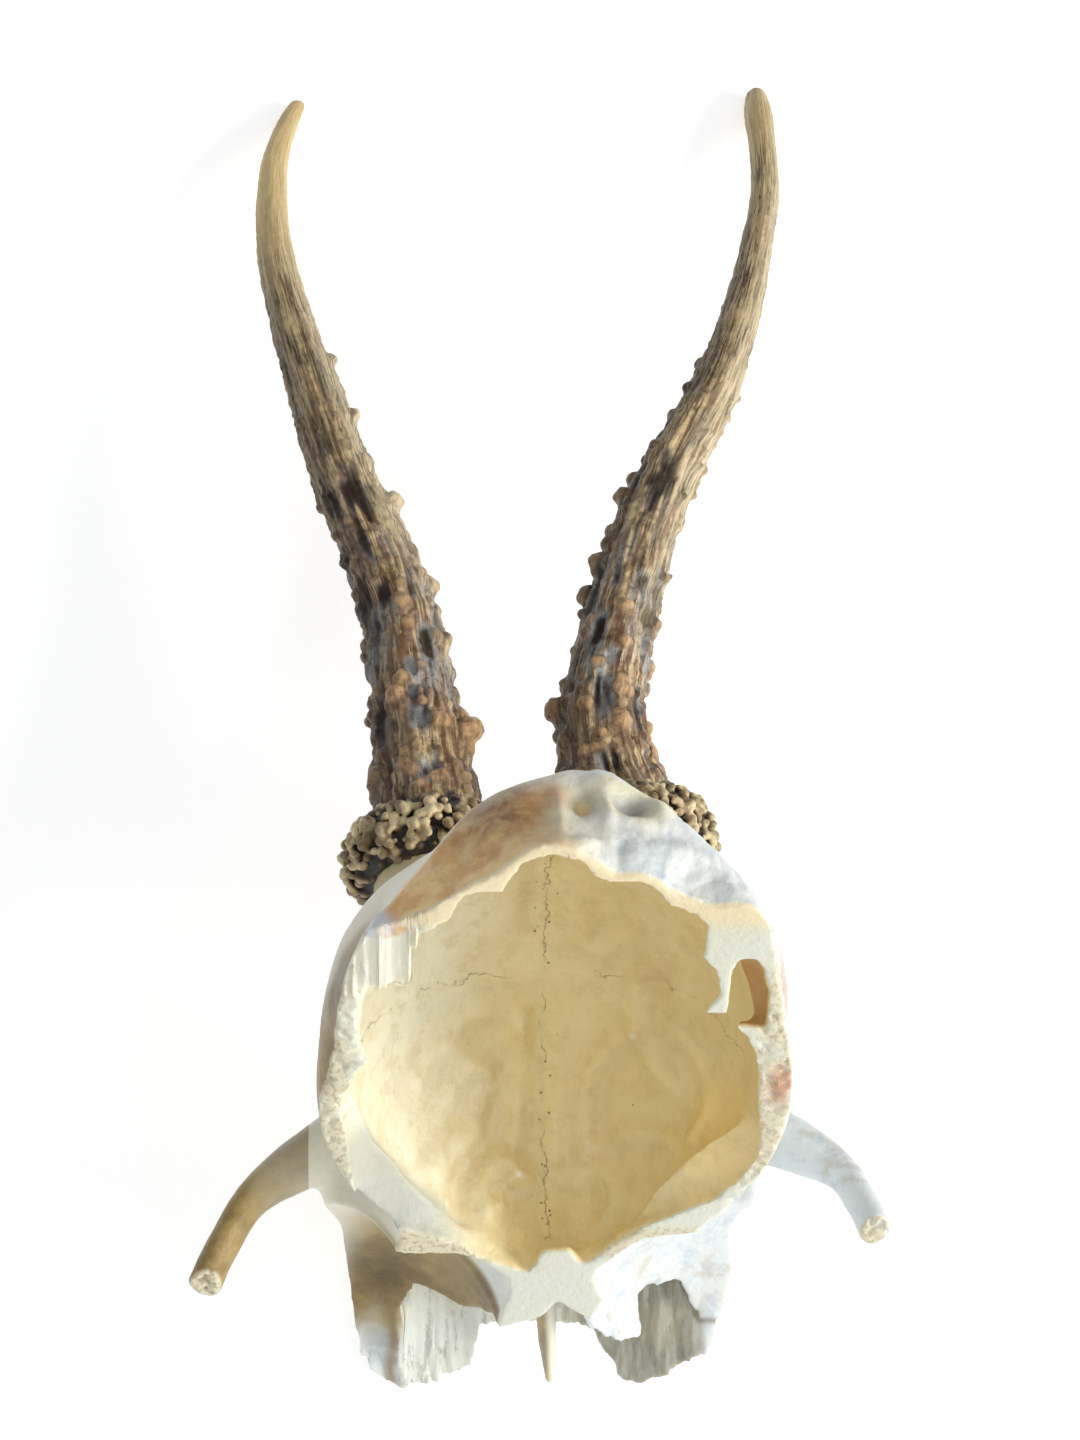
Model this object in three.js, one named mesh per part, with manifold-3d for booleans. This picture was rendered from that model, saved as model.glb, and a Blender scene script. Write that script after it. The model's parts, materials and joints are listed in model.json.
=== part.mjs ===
// Roe deer skull cap with antlers: a buck's skull sawn off through the eye sockets, lying on its brow.
// Millimetres. Every bone is laid out in the skull's own axes, x to one side, y towards the nose and z up
// from the saw cut, and the finished group is then tipped over onto the brow and the antler tips.
import * as THREE from "three";
import { mergeVertices } from "three/addons/utils/BufferGeometryUtils.js";
import Module from "manifold-3d";

const wasm = await Module();
wasm.setup();

// ---- driving dimensions ----

const GAP = 0.3; // kept between two bones that meet
const LEFT = -1;
const RIGHT = 1;
const SIDES = [
  { name: "left", side: LEFT },
  { name: "right", side: RIGHT },
];

// Braincase: a vault whose sections are round in front and turn into a low gable at the nape.
const CASE = {
  centreX: 0.3,
  centreY: -3,
  halfWidth: 30.2,
  front: 32,
  back: 58,
  squareFront: 1.8,
  squareBack: 1.9,
  top: 36.5,
  drop: 21,
  dropLength: 43,
  roundFront: 2.2,
  roundBack: 1.5,
};
const CAVITY = {
  centreX: 0.3,
  centreY: -6,
  halfWidth: 26.2,
  front: 33.5,
  back: 44,
  squareFront: 1.65,
  squareBack: 1.7,
  top: 32.5,
  drop: 23,
  dropLength: 41,
  roundFront: 2.1,
  roundBack: 1.7,
};
const GABLE = { startY: -15, endY: -47, seatFront: 6, seatBack: -4 }; // where the vault turns into the gable
const NAPE = { y: -47, bulge: 0.0165, lean: 0.06 }; // the neck face of the occipital bone
const NAPE_INSIDE = { y: -44.8, bulge: 0.023, lean: 0.06 };

// Brow: the height of the forehead above the saw cut, and how far it falls away to the sides.
const BROW = {
  top: 37.5,
  topY: 13,
  soft: 12,
  slope: 0.45,
  waistY: 40,
  fall: 7,
  fallGrowth: 0.0148,
  halfWidth: 26.8,
  flare: 4,
  narrowing: 0.003,
  startY: -4,
};
const NOTCH_Y = 60; // where the nose bones were seated
const LOBE = { reach: 7, innerX: 7.5, outerLeft: 10, outerRight: 13.5, cornerX: 19, corner: 2.2 };
const UNDERCUT = { depth: 0.1, height: 13 }; // how the brow's edge runs back towards the saw cut
const LOBE_SLANT = { startX: 15.5, left: 0.05, right: 0.95 }; // how far the brow's edge runs back to the sides

// Eye sockets: an egg-shaped hollow on each side.
const SOCKET = { centre: [30.5, 43.5, -1], radii: [25, 22.5, 18.6] };
const SINUS = { halfWidth: 19, startY: 41, sideStartY: 47, roof: 3.2 };

// Sutures, where one bone ends and the next begins.
const CORONAL_Y = 4;
const LAMBDOID_Y = -40;
const SQUAMOUS_Z = 15;
const TEMPLE_Y = 13;
const BLOCK = { halfWidth: 8.5, startY: 23, top: 12 };

// The bars behind the eyes, from the brow down to the saw cut, where they are broken off.
const BARS = {
  left: { root: [-25.5, 22.5, 20.5], bend: [-37.6, 24.4, 12], low: [-42.4, 27, 5], tip: [-45, 30.3, 0.8] },
  right: { root: [27, 20.5, 20.5], bend: [38.4, 19.6, 11.5], low: [41.8, 20, 5.5], tip: [43.2, 20.2, 0.8] },
};
const BAR_RADIUS = { root: 5.2, middle: 3.1, tip: 2.9, flatten: 0.72 };
const BAR_CUT_X = 31.4; // where a bar is parted from the brow
const SPINE = { root: [0.8, 41.6, 13.2], tip: [2.3, 64, 11.2], rootRadius: 2.6, tipRadius: 0.8 };

// Antlers: a pedicle, a pearled burr and one beam without tines on each side.
const PEDICLE = { x: 14.8, y: 13.5, z: 29, radius: 8.6, waist: 7.6 };
const BURR = { radius: 13.2, topRadius: 9, height: 7.2, around: 28 };
const ANTLERS = {
  left: { base: 14, burrY: 7.2, burrZ: 58.5, tipZ: 215.5, spread: 25.7, from: 0.05, to: 0.84, hook: 193, dip: -1.5 },
  right: { base: 14.3, burrY: 6.8, burrZ: 61, tipZ: 217.6, spread: 29.6, from: 0.18, to: 0.85, hook: 0, dip: 3.7 },
};
const DIP = { share: 0.12, reach: 0.1 }; // where a beam leans in before it spreads
const HOOK_START = 0.86;
const BEAM = { base: 7.1, tip: 1.2, taper: 0.74, flare: 1.5, flareLength: 0.03, bow: 3.5, flutes: 7, fluteDepth: 0.05 };
const PEARLS = { first: 0.12, last: 0.6, inner: 8, faces: 4, big: 2.2, small: 1.1 };

// Rest: the brow's two lobes and the two antler tips stand on one plane.
const FLOOR = { y: 66.5, z: 12, lean: 24 };

// ---- small tools ----

const clamp01 = (t) => Math.min(1, Math.max(0, t));
const lerp = THREE.MathUtils.lerp;

function smoothstep(low, high, value) {
  const t = clamp01((value - low) / (high - low));
  return t * t * (3 - 2 * t);
}

/** A repeatable number from 0 to 1 for each seed. */
function scatter(seed) {
  const wave = Math.sin(seed * 127.1 + 311.7) * 43758.5453;
  return wave - Math.floor(wave);
}

/** A closed geometry as a solid that can be joined and cut. */
function solid(geometry) {
  const bare = geometry.clone();
  bare.deleteAttribute("normal");
  bare.deleteAttribute("uv");
  const merged = mergeVertices(bare, 1e-4);
  return new wasm.Manifold(
    new wasm.Mesh({
      numProp: 3,
      vertProperties: merged.attributes.position.array,
      triVerts: new Uint32Array(merged.index.array),
    }),
  );
}

/** The geometry of a finished solid. */
function geometryOf(made) {
  const mesh = made.getMesh();
  const geometry = new THREE.BufferGeometry();
  geometry.setAttribute("position", new THREE.BufferAttribute(mesh.vertProperties, 3));
  geometry.setIndex(new THREE.BufferAttribute(mesh.triVerts, 1));
  geometry.computeVertexNormals();
  return geometry;
}

/** Moves every vertex of a geometry to where the function puts it. */
function reshape(geometry, place) {
  const position = geometry.attributes.position;
  const point = new THREE.Vector3();
  for (let i = 0; i < position.count; i++) {
    place(point.fromBufferAttribute(position, i));
    position.setXYZ(i, point.x, point.y, point.z);
  }
  return geometry;
}

/** A block between two corners. */
function block(low, high) {
  const size = high.map((h, i) => h - low[i]);
  const geometry = new THREE.BoxGeometry(...size);
  geometry.translate(...high.map((h, i) => (h + low[i]) / 2));
  return solid(geometry);
}

/** The directions across and through a curve at a share of its length, kept close to a chosen direction. */
function frameAt(curve, share, chosen) {
  const along = curve.getTangent(share);
  const across = chosen.clone().addScaledVector(along, -chosen.dot(along)).normalize();
  return { along, across, through: across.clone().cross(along) };
}

/** A tube whose radius follows a function of the share of its length and of the angle around it. */
function tube(curve, chosen, rings, sides, radiusAt, flatten = 1) {
  const geometry = new THREE.CylinderGeometry(1, 1, 1, sides, rings);
  reshape(geometry, (p) => {
    const share = clamp01(p.y + 0.5);
    const { across, through } = frameAt(curve, share, chosen);
    const radius = radiusAt(share, Math.atan2(p.z, p.x));
    across.multiplyScalar(p.x * radius);
    through.multiplyScalar(p.z * radius * flatten);
    p.copy(curve.getPoint(share)).add(across).add(through);
  });
  return solid(geometry);
}

/** A smooth curve through a few named points. */
const curveThrough = (...points) => new THREE.CatmullRomCurve3(points.map((p) => new THREE.Vector3(...p)));

// ---- the forms that the bones share ----

/** The vault's cross-section at a place along it: half its width, the height of its widest part, and its rise. */
function vaultSection(form, y) {
  const ahead = y > form.centreY;
  const reached = Math.abs(y - form.centreY) / (ahead ? form.front : form.back);
  const share = reached > 0.9999 ? 1 : reached;
  const square = ahead ? form.squareFront : form.squareBack;
  const taper = (1 - share ** square) ** (1 / square);
  const gable = smoothstep(GABLE.startY, GABLE.endY, y);
  const seat = lerp(GABLE.seatFront, GABLE.seatBack, gable);
  const behind = Math.max(0, form.centreY - y) / form.dropLength;
  const rise = form.top - form.drop * Math.min(1, behind) ** 1.8 - seat;
  return {
    halfWidth: form.halfWidth * taper,
    seat,
    rise: rise * (ahead ? taper : (1 - share ** 8) ** (1 / 8)),
    roundness: lerp(form.roundFront, form.roundBack, gable),
  };
}

/** The vault as a solid: a ball whose rings become the sections. */
function vaultSolid(form, around, down) {
  const ball = new THREE.SphereGeometry(1, around, down);
  reshape(ball, (p) => {
    const y = form.centreY + p.y * (p.y > 0 ? form.front : form.back);
    const { halfWidth, seat, rise, roundness } = vaultSection(form, y);
    const angle = Math.atan2(p.z, p.x);
    const c = Math.cos(angle);
    const s = Math.sin(angle);
    const out = (Math.abs(c) ** roundness + Math.abs(s) ** roundness) ** (-1 / roundness);
    p.set(form.centreX + halfWidth * c * out, y, seat + rise * s * out);
  });
  return solid(ball);
}

/** The solid behind a neck face. */
function behindNape(face) {
  const slab = new THREE.BoxGeometry(2, 1, 1, 16, 1, 4);
  reshape(slab, (p) => {
    const x = p.x * 50;
    const z = (p.z + 0.5) * 90 - 45;
    p.set(x, p.y < 0 ? -FAR : face.y + face.bulge * x * x + face.lean * z, z);
  });
  return solid(slab);
}

/** The forehead's height at a place. */
function browHeight(x, y) {
  const ridge = BROW.top - BROW.slope * (Math.hypot(y - BROW.topY, BROW.soft) - BROW.soft);
  const fall = BROW.fall + BROW.fallGrowth * (y - BROW.waistY) ** 2;
  return ridge - fall * (x / 28) ** 2;
}

/** Half the forehead's width, with the flare of the bar behind the eye. */
function browHalfWidth(y) {
  const flare = BROW.flare * Math.exp(-(((y - 27) / 7) ** 2));
  const temple = 5 * (1 - smoothstep(0, 22, y));
  return BROW.halfWidth + flare - temple - BROW.narrowing * Math.max(0, y - 45) ** 2;
}

/** How much narrower the brow is down at the saw cut: the temples run in under it, the eye rims don't. */
const browFoot = (y) => lerp(0.66, 1, smoothstep(22, 36, y));

/** How far forward the brow reaches: a lobe on each side of the notch for the nose bones. */
function browEnd(x) {
  const across = Math.abs(x);
  const lobe = LOBE.reach * smoothstep(LOBE.innerX, x < 0 ? LOBE.outerLeft : LOBE.outerRight, across);
  const slant = (x < 0 ? LOBE_SLANT.left : LOBE_SLANT.right) * Math.max(0, across - LOBE_SLANT.startX);
  return NOTCH_Y + lobe - LOBE.corner * smoothstep(LOBE.cornerX, LOBE.cornerX + 6, across) - slant;
}

const browUndercut = (z) => UNDERCUT.depth * Math.max(0, UNDERCUT.height - z) ** 2;

/** A block bent so that its top, sides and front follow the brow, its top raised by a lift. */
function browSolid(lift = 0) {
  const slab = new THREE.BoxGeometry(2, 1, 1, 16, 12, 4);
  reshape(slab, (p) => {
    const share = p.y + 0.5;
    const rough = lerp(BROW.startY, NOTCH_Y + LOBE.reach, share);
    const x = p.x * browHalfWidth(rough);
    const end = browEnd(x);
    const top = browHeight(x, lerp(BROW.startY, end, share));
    const z = lerp(-2, top, p.z + 0.5);
    const y = lerp(BROW.startY, end - browUndercut(z), share);
    const foot = lerp(browFoot(y), 1, clamp01(z / 18));
    p.set(x * foot, y, p.z > 0.49 ? browHeight(x * foot, y) + lift : z);
  });
  return solid(slab);
}

/** The hollow behind the lobes, open to the front and below. */
function sinusSolid() {
  const slab = new THREE.BoxGeometry(2, 1, 1, 12, 5, 1);
  reshape(slab, (p) => {
    const x = p.x * SINUS.halfWidth;
    const start = lerp(SINUS.startY, SINUS.sideStartY, smoothstep(5, 11, Math.abs(x)));
    const y = lerp(start, 80, p.y + 0.5);
    const z = lerp(-6, browHeight(x, y) - SINUS.roof, p.z + 0.5);
    p.set(x, y, z);
  });
  return solid(slab);
}

function socketSolid(side) {
  const ball = new THREE.SphereGeometry(1, 24, 12);
  ball.scale(...SOCKET.radii);
  ball.translate(side * SOCKET.centre[0], SOCKET.centre[1], SOCKET.centre[2]);
  return solid(ball);
}

// ---- bones of the skull cap ----

const FAR = 400;
const belowCut = block([-FAR, -FAR, -FAR], [FAR, FAR, 0]);
const cavity = vaultSolid(CAVITY, 34, 18).subtract(behindNape(NAPE_INSIDE));
const caseWall = vaultSolid(CASE, 38, 20).subtract(behindNape(NAPE)).subtract(cavity).subtract(belowCut);

const hollows = cavity.add(socketSolid(LEFT)).add(socketSolid(RIGHT)).add(sinusSolid()).add(belowCut);
const brow = browSolid().subtract(hollows);
const grownCase = { ...CASE, halfWidth: CASE.halfWidth + GAP, front: CASE.front + GAP, top: CASE.top + GAP };
const raisedRoof = browSolid(GAP).add(vaultSolid(grownCase, 38, 20));

/** The half of a paired bone that lies on one side, clear of its twin. */
function half(side) {
  const near = GAP / 2;
  return side === LEFT ? block([-FAR, -FAR, -FAR], [-near, FAR, FAR]) : block([near, -FAR, -FAR], [FAR, FAR, FAR]);
}

function occipital() {
  return caseWall.intersect(block([-FAR, -FAR, -FAR], [FAR, LAMBDOID_Y - GAP, FAR]));
}

function parietal(side) {
  return caseWall
    .intersect(block([-FAR, LAMBDOID_Y, SQUAMOUS_Z], [FAR, CORONAL_Y - GAP, FAR]))
    .intersect(half(side));
}

function temporal(side) {
  return caseWall
    .intersect(block([-FAR, LAMBDOID_Y, -FAR], [FAR, TEMPLE_Y - GAP, SQUAMOUS_Z - GAP]))
    .intersect(half(side));
}

function middleBlock() {
  const { halfWidth, startY, top } = BLOCK;
  return caseWall.add(brow).intersect(block([-halfWidth, startY, -FAR], [halfWidth, FAR, top]));
}

/** The brow of one side with its bar, still in one piece. */
function frontal(name, side) {
  const { halfWidth, startY, top } = BLOCK;
  return caseWall
    .add(brow)
    .add(orbitalBar(name).subtract(cavity).subtract(belowCut))
    .intersect(
      block([-FAR, CORONAL_Y, SQUAMOUS_Z], [FAR, FAR, FAR]).add(block([-FAR, TEMPLE_Y, -FAR], [FAR, FAR, FAR])),
    )
    .subtract(block([-halfWidth - GAP, startY - GAP, -FAR], [halfWidth + GAP, FAR, top + GAP]))
    .intersect(half(side));
}

/** The bar behind an eye, a flat strap that bends down from the brow. */
function orbitalBar(name) {
  const { root, bend, low, tip } = BARS[name];
  const radiusAt = (share) => {
    const rootFlare = (BAR_RADIUS.root - BAR_RADIUS.middle) * (1 - smoothstep(0, 0.45, share));
    return lerp(BAR_RADIUS.middle, BAR_RADIUS.tip, share) + rootFlare;
  };
  const forward = new THREE.Vector3(0, 1, 0);
  return tube(curveThrough(root, bend, low, tip), forward, 10, 10, radiusAt, BAR_RADIUS.flatten);
}

function nasalSpine() {
  const radiusAt = (share) => lerp(SPINE.rootRadius, SPINE.tipRadius, share ** 1.5);
  return tube(curveThrough(SPINE.root, SPINE.tip), new THREE.Vector3(0, 0, 1), 4, 8, radiusAt, 0.6);
}

// ---- antlers ----

/** The centre line of an antler, from the middle of its burr to its tip. */
class AntlerCurve extends THREE.Curve {
  constructor(side, form) {
    super();
    this.side = side;
    this.form = form;
  }

  getPoint(share, target = new THREE.Vector3()) {
    const { base, burrY, burrZ, tipZ, spread, from, to, hook, dip } = this.form;
    const z = lerp(burrZ, tipZ, share);
    const hooked = hook * Math.max(0, share - HOOK_START) ** 2;
    const dipped = dip * Math.exp(-(((share - DIP.share) / DIP.reach) ** 2));
    const out = base + spread * smoothstep(from, to, share) - hooked - dipped;
    const floorY = FLOOR.y - Math.tan(THREE.MathUtils.degToRad(FLOOR.lean)) * (tipZ - FLOOR.z);
    const y = lerp(burrY, floorY - BEAM.tip, share) - BEAM.bow * Math.sin(Math.PI * share);
    return target.set(this.side * out, y, z);
  }
}

const beamRadius = (share) =>
  BEAM.tip + (BEAM.base - BEAM.tip) * (1 - share) ** BEAM.taper + BEAM.flare * Math.exp(-share / BEAM.flareLength);

/** The fluted beam: shallow furrows that twist a little on the way up. */
function flutedRadius(share, angle) {
  const depth = BEAM.fluteDepth * (1 - share);
  return beamRadius(share) * (1 + depth * Math.cos(BEAM.flutes * angle + 5 * share));
}

/** One pearl, a small knob half sunk into the beam. */
function pearl(curve, inward, share, angle, size) {
  const { across, through } = frameAt(curve, share, inward);
  const ball = new THREE.IcosahedronGeometry(size, 0);
  const reach = beamRadius(share) + 0.1 * size;
  const place = curve.getPoint(share);
  place.addScaledVector(across, Math.cos(angle) * reach).addScaledVector(through, Math.sin(angle) * reach);
  ball.translate(place.x, place.y, place.z);
  return solid(ball);
}

/** Pearls in one row up the inner edge and in looser rows on the faces. */
function pearls(curve, inward, seed) {
  const made = [];
  const sizeAt = (share) => lerp(PEARLS.big, PEARLS.small, (share - PEARLS.first) / (PEARLS.last - PEARLS.first));
  for (let i = 0; i < PEARLS.inner; i++) {
    const share = lerp(PEARLS.first, PEARLS.last, i / (PEARLS.inner - 1));
    made.push(pearl(curve, inward, share, 0.25 * (scatter(seed + i) - 0.5), sizeAt(share)));
  }
  for (const [row, angle] of [-2.1, -1, 1, 2.1].entries()) {
    for (let i = 0; i < PEARLS.faces; i++) {
      const drift = scatter(seed + 20 * row + 3 * i + 7);
      const share = PEARLS.first - 0.03 + 0.085 * (i + drift);
      made.push(pearl(curve, inward, share, angle + 0.5 * (drift - 0.5), 0.8 * sizeAt(share)));
    }
  }
  return made;
}

/** The share of the antler's centre line that lies a distance above the middle of the burr. */
const shareAbove = (form, distance) => distance / Math.hypot(form.tipZ - form.burrZ, 35);

function antlerParts(name, side) {
  const form = ANTLERS[name];
  const curve = new AntlerCurve(side, form);
  const inward = new THREE.Vector3(-side, 0, 0);
  const start = shareAbove(form, BURR.height / 2 + GAP);
  const beamCurve = new (class extends THREE.Curve {
    getPoint(share, target) {
      return curve.getPoint(lerp(start, 1, share), target);
    }
  })();
  let antler = tube(beamCurve, inward, 28, 14, (share, angle) => flutedRadius(share, angle));
  for (const knob of pearls(beamCurve, inward, side + 2)) antler = antler.add(knob);
  return { form, curve, antler };
}

/** The burr: a lumpy ring of pearls round the foot of the beam. */
function burr(curve) {
  const { radius, topRadius, height, around } = BURR;
  const profile = [];
  const steps = 6;
  profile.push(new THREE.Vector2(0, -height / 2));
  for (let i = 0; i <= steps; i++) {
    const turn = Math.PI * (i / steps - 0.5);
    const bulge = Math.cos(turn) ** 0.6;
    profile.push(new THREE.Vector2(topRadius + (radius - topRadius) * bulge, (Math.sin(turn) * height) / 2));
  }
  profile.push(new THREE.Vector2(0, height / 2));
  const disc = new THREE.LatheGeometry(profile, around);
  reshape(disc, (p) => {
    const angle = Math.atan2(p.z, p.x);
    const out = Math.hypot(p.x, p.z);
    const knob = 1 + 0.045 * smoothstep(topRadius, radius, out) * Math.cos((around / 2) * angle);
    p.set(p.x * knob, p.y, p.z * knob);
  });
  return placedOn(disc, curve);
}

/** A form made round the upright axis, set on the foot of an antler and turned along it. */
function placedOn(geometry, curve) {
  const turn = new THREE.Quaternion().setFromUnitVectors(new THREE.Vector3(0, 1, 0), curve.getTangent(0));
  geometry.applyQuaternion(turn);
  geometry.translate(...curve.getPoint(0).toArray());
  return solid(geometry);
}

/** The pedicle: the bony stalk between the brow and the burr. */
function pedicle(side, curve) {
  const along = curve.getTangent(0);
  const top = curve.getPoint(0).addScaledVector(along, -BURR.height / 2 - GAP);
  const below = top.clone().addScaledVector(along, -4);
  const root = [side * PEDICLE.x, PEDICLE.y, PEDICLE.z];
  const radiusAt = (share) => lerp(PEDICLE.radius, PEDICLE.waist, Math.sin(Math.PI * share) ** 2);
  const stalk = tube(
    curveThrough(root, below.toArray(), top.toArray()),
    new THREE.Vector3(1, 0, 0),
    5,
    16,
    radiusAt,
  );
  return stalk.subtract(raisedRoof);
}

// ---- the group ----

const bone = new THREE.MeshStandardMaterial({ color: 0xeee4cf, roughness: 0.55, metalness: 0 });
const paleBone = new THREE.MeshStandardMaterial({ color: 0xe4e2da, roughness: 0.6, metalness: 0 });
const stalkBone = new THREE.MeshStandardMaterial({ color: 0xd9c9a6, roughness: 0.6, metalness: 0 });
const burrPearl = new THREE.MeshStandardMaterial({ color: 0x8c7a55, roughness: 0.7, metalness: 0 });
const antlerBrown = new THREE.MeshStandardMaterial({ color: 0x65503a, roughness: 0.65, metalness: 0 });

const skull = new THREE.Group();
const underFloor = floorBlock();

/** Everything beyond the plane that the skull rests on. */
function floorBlock() {
  const slab = new THREE.BoxGeometry(2 * FAR, FAR, 2 * FAR);
  slab.translate(0, FAR / 2, 0);
  slab.rotateX(THREE.MathUtils.degToRad(FLOOR.lean));
  slab.translate(0, FLOOR.y, FLOOR.z);
  return solid(slab);
}

/** The part of a solid that lies nearer the middle, or further out, than a distance. */
const nearer = (made, x) => made.intersect(block([-x, -FAR, -FAR], [x, FAR, FAR]));
const further = (made, x) => made.subtract(block([-x, -FAR, -FAR], [x, FAR, FAR]));

function addBone(name, made, material) {
  const mesh = new THREE.Mesh(geometryOf(made.subtract(underFloor)), material);
  mesh.name = name;
  skull.add(mesh);
}

addBone("occipital", occipital(), bone);
addBone("ethmoid_block", middleBlock(), paleBone);
addBone("nasal_spine", nasalSpine(), bone);
for (const { name, side } of SIDES) {
  const frontalBone = frontal(name, side);
  const { curve, antler } = antlerParts(name, side);
  addBone(`parietal_${name}`, parietal(side), bone);
  addBone(`temporal_${name}`, temporal(side), bone);
  addBone(`frontal_${name}`, nearer(frontalBone, BAR_CUT_X), bone);
  addBone(`orbital_bar_${name}`, further(frontalBone, BAR_CUT_X + GAP), paleBone);
  addBone(`pedicle_${name}`, pedicle(side, curve), stalkBone);
  addBone(`burr_${name}`, burr(curve), burrPearl);
  addBone(`antler_${name}`, antler, antlerBrown);
}

// The nose-to-antler direction lies flat, and the middle of the footprint is the origin.
skull.rotation.x = -THREE.MathUtils.degToRad(90 + FLOOR.lean);
skull.updateMatrixWorld(true);
const extent = new THREE.Box3().setFromObject(skull, true);
const middle = extent.getCenter(new THREE.Vector3());
skull.position.set(-middle.x, -middle.y, -extent.min.z);

const model = new THREE.Group();
model.add(skull);

export default model;
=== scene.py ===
# %% [markdown]
# # A roe deer's skull cap with antlers
# The bone is modelled the way it grew: as one surface. Each form is a field, a function that is below zero
# inside the bone, and smooth minimums and maximums join and hollow the fields. The surface where the field
# is zero becomes a mesh, the mesh gets its small relief, and only then is it sawn into the separate bones.
# All forms are laid out in the skull's own axes in millimetres: x to one side, y towards the nose, z up from
# the saw cut.

import json
import math

import bpy
import numpy as np
import openvdb as vdb
from mathutils import Matrix, Vector


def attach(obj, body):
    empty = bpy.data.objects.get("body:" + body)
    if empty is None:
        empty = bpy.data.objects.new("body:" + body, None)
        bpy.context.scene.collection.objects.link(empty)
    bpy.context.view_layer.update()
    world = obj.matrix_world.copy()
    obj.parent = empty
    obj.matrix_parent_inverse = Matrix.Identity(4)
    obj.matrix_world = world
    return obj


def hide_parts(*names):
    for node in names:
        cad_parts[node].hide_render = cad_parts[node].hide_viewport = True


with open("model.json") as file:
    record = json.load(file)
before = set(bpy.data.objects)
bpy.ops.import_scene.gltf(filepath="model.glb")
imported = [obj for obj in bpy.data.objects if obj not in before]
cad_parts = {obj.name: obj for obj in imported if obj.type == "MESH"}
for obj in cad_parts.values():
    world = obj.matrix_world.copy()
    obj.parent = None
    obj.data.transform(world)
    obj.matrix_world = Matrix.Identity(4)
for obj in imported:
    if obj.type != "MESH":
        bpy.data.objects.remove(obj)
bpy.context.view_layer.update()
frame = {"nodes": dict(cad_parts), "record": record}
print("part loaded with", len(frame["nodes"]), "bones and antler pieces")

# %% [markdown]
# The skull lies tipped over on its brow, so its axes are turned against the part's axes. The saw cut's own
# mark in the part's record tells where the skull's axes sit.

# %% Skull axes
LEAN = math.radians(24)
LOBE_TOUCH = dict(y=66.5, z=12)  # where the lobes rest on the floor, in the skull's axes
CUT_MARK = (0, 34, 0)  # the saw cut's mark, in the skull's axes

turn = Matrix.Rotation(-(math.pi / 2 + LEAN), 4, "X")
mark = next(m for m in frame["record"]["mounts"] if m["name"] == "saw_cut")
mark_at = Vector(mark["pos_m"])
SKULL = Matrix.Translation(mark_at - turn.to_3x3() @ Vector(CUT_MARK) / 1000) @ turn @ Matrix.Scale(0.001, 4)
print("skull origin at", [round(v * 1000, 2) for v in SKULL.translation], "mm")

# %% [markdown]
# ## Tools for fields
# A ramp eases a number from 0 to 1, a bump is a low hill round a value, and a patch is a hill on a plane. The
# soft joins melt two forms into each other as bone grows together. A plain minimum would leave a hard crease.

# %% Ramps and soft joins
def ramp(low, high, value):
    t = np.clip((value - low) / (high - low), 0, 1)
    return t * t * (3 - 2 * t)


def mix(a, b, t):
    return a + (b - a) * t


def bump(value, middle, width):
    return np.exp(-(((value - middle) / width) ** 2))


def patch(across, up, middle, reach, ring=0.0, width=1.0):
    """1 in the middle of a soft oval, or on a ring round it, and 0 well outside."""
    away = np.hypot((across - middle[0]) / reach[0], (up - middle[1]) / reach[1])
    return bump(away, ring, width)


def soft_min(a, b, reach):
    t = np.clip(0.5 + 0.5 * (b - a) / reach, 0, 1)
    return mix(b, a, t) - reach * t * (1 - t)


def soft_max(a, b, reach):
    return -soft_min(-a, -b, reach)


print("two forms that touch, with a reach of 2 mm, melt", round(-float(soft_min(0, 0, 2)), 2), "mm deep")

# %% [markdown]
# Bone and antler are never quite even. Blender's noise textures only change a material, so this noise is
# worked out in Python, where it can move the mesh itself. Its seeds are fixed, so every run gives the same
# bone.

# %% Noise on scattered points
def hashed(cell, seed):
    """A repeatable number from -1 to 1 for each cell of a lattice."""
    h = (cell[:, 0] * 73856093) ^ (cell[:, 1] * 19349663) ^ (cell[:, 2] * 83492791) ^ (seed * 40503 + 7)
    h = h & 0xFFFFFFFF
    h = ((h ^ (h >> 13)) * 1274126177) & 0xFFFFFFFF
    h = ((h ^ (h >> 15)) * 2246822519) & 0xFFFFFFFF
    return (h ^ (h >> 16)) / 2147483647.5 - 1


def lumps(points, size, seed=0):
    """Smooth noise from -1 to 1 with lumps of about a size, in millimetres. The size may differ by axis."""
    place = points / np.asarray(size, float)
    cell = np.floor(place).astype(np.int64)
    t = place - cell
    t = t * t * (3 - 2 * t)
    total = np.zeros(len(points))
    for corner in np.ndindex(2, 2, 2):
        step = np.array(corner)
        share = np.prod(np.where(step == 1, t, 1 - t), axis=1)
        total += share * hashed(cell + step, seed)
    return total


def rough(points, size, seed=0, octaves=3):
    """Noise with finer and finer lumps."""
    total = np.zeros(len(points))
    for i in range(octaves):
        total += 0.5**i * lumps(points, np.asarray(size, float) / 2**i, seed + 17 * i)
    return total


print("noise at one place:", round(float(rough(np.full((1, 3), 0.5), 4)[0]), 3))

# %% [markdown]
# A grid is a block of sample points. The skull could be sculpted by hand or built from curves, but forms that
# are sampled on a grid can be joined, hollowed and cut in one line each.

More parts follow.
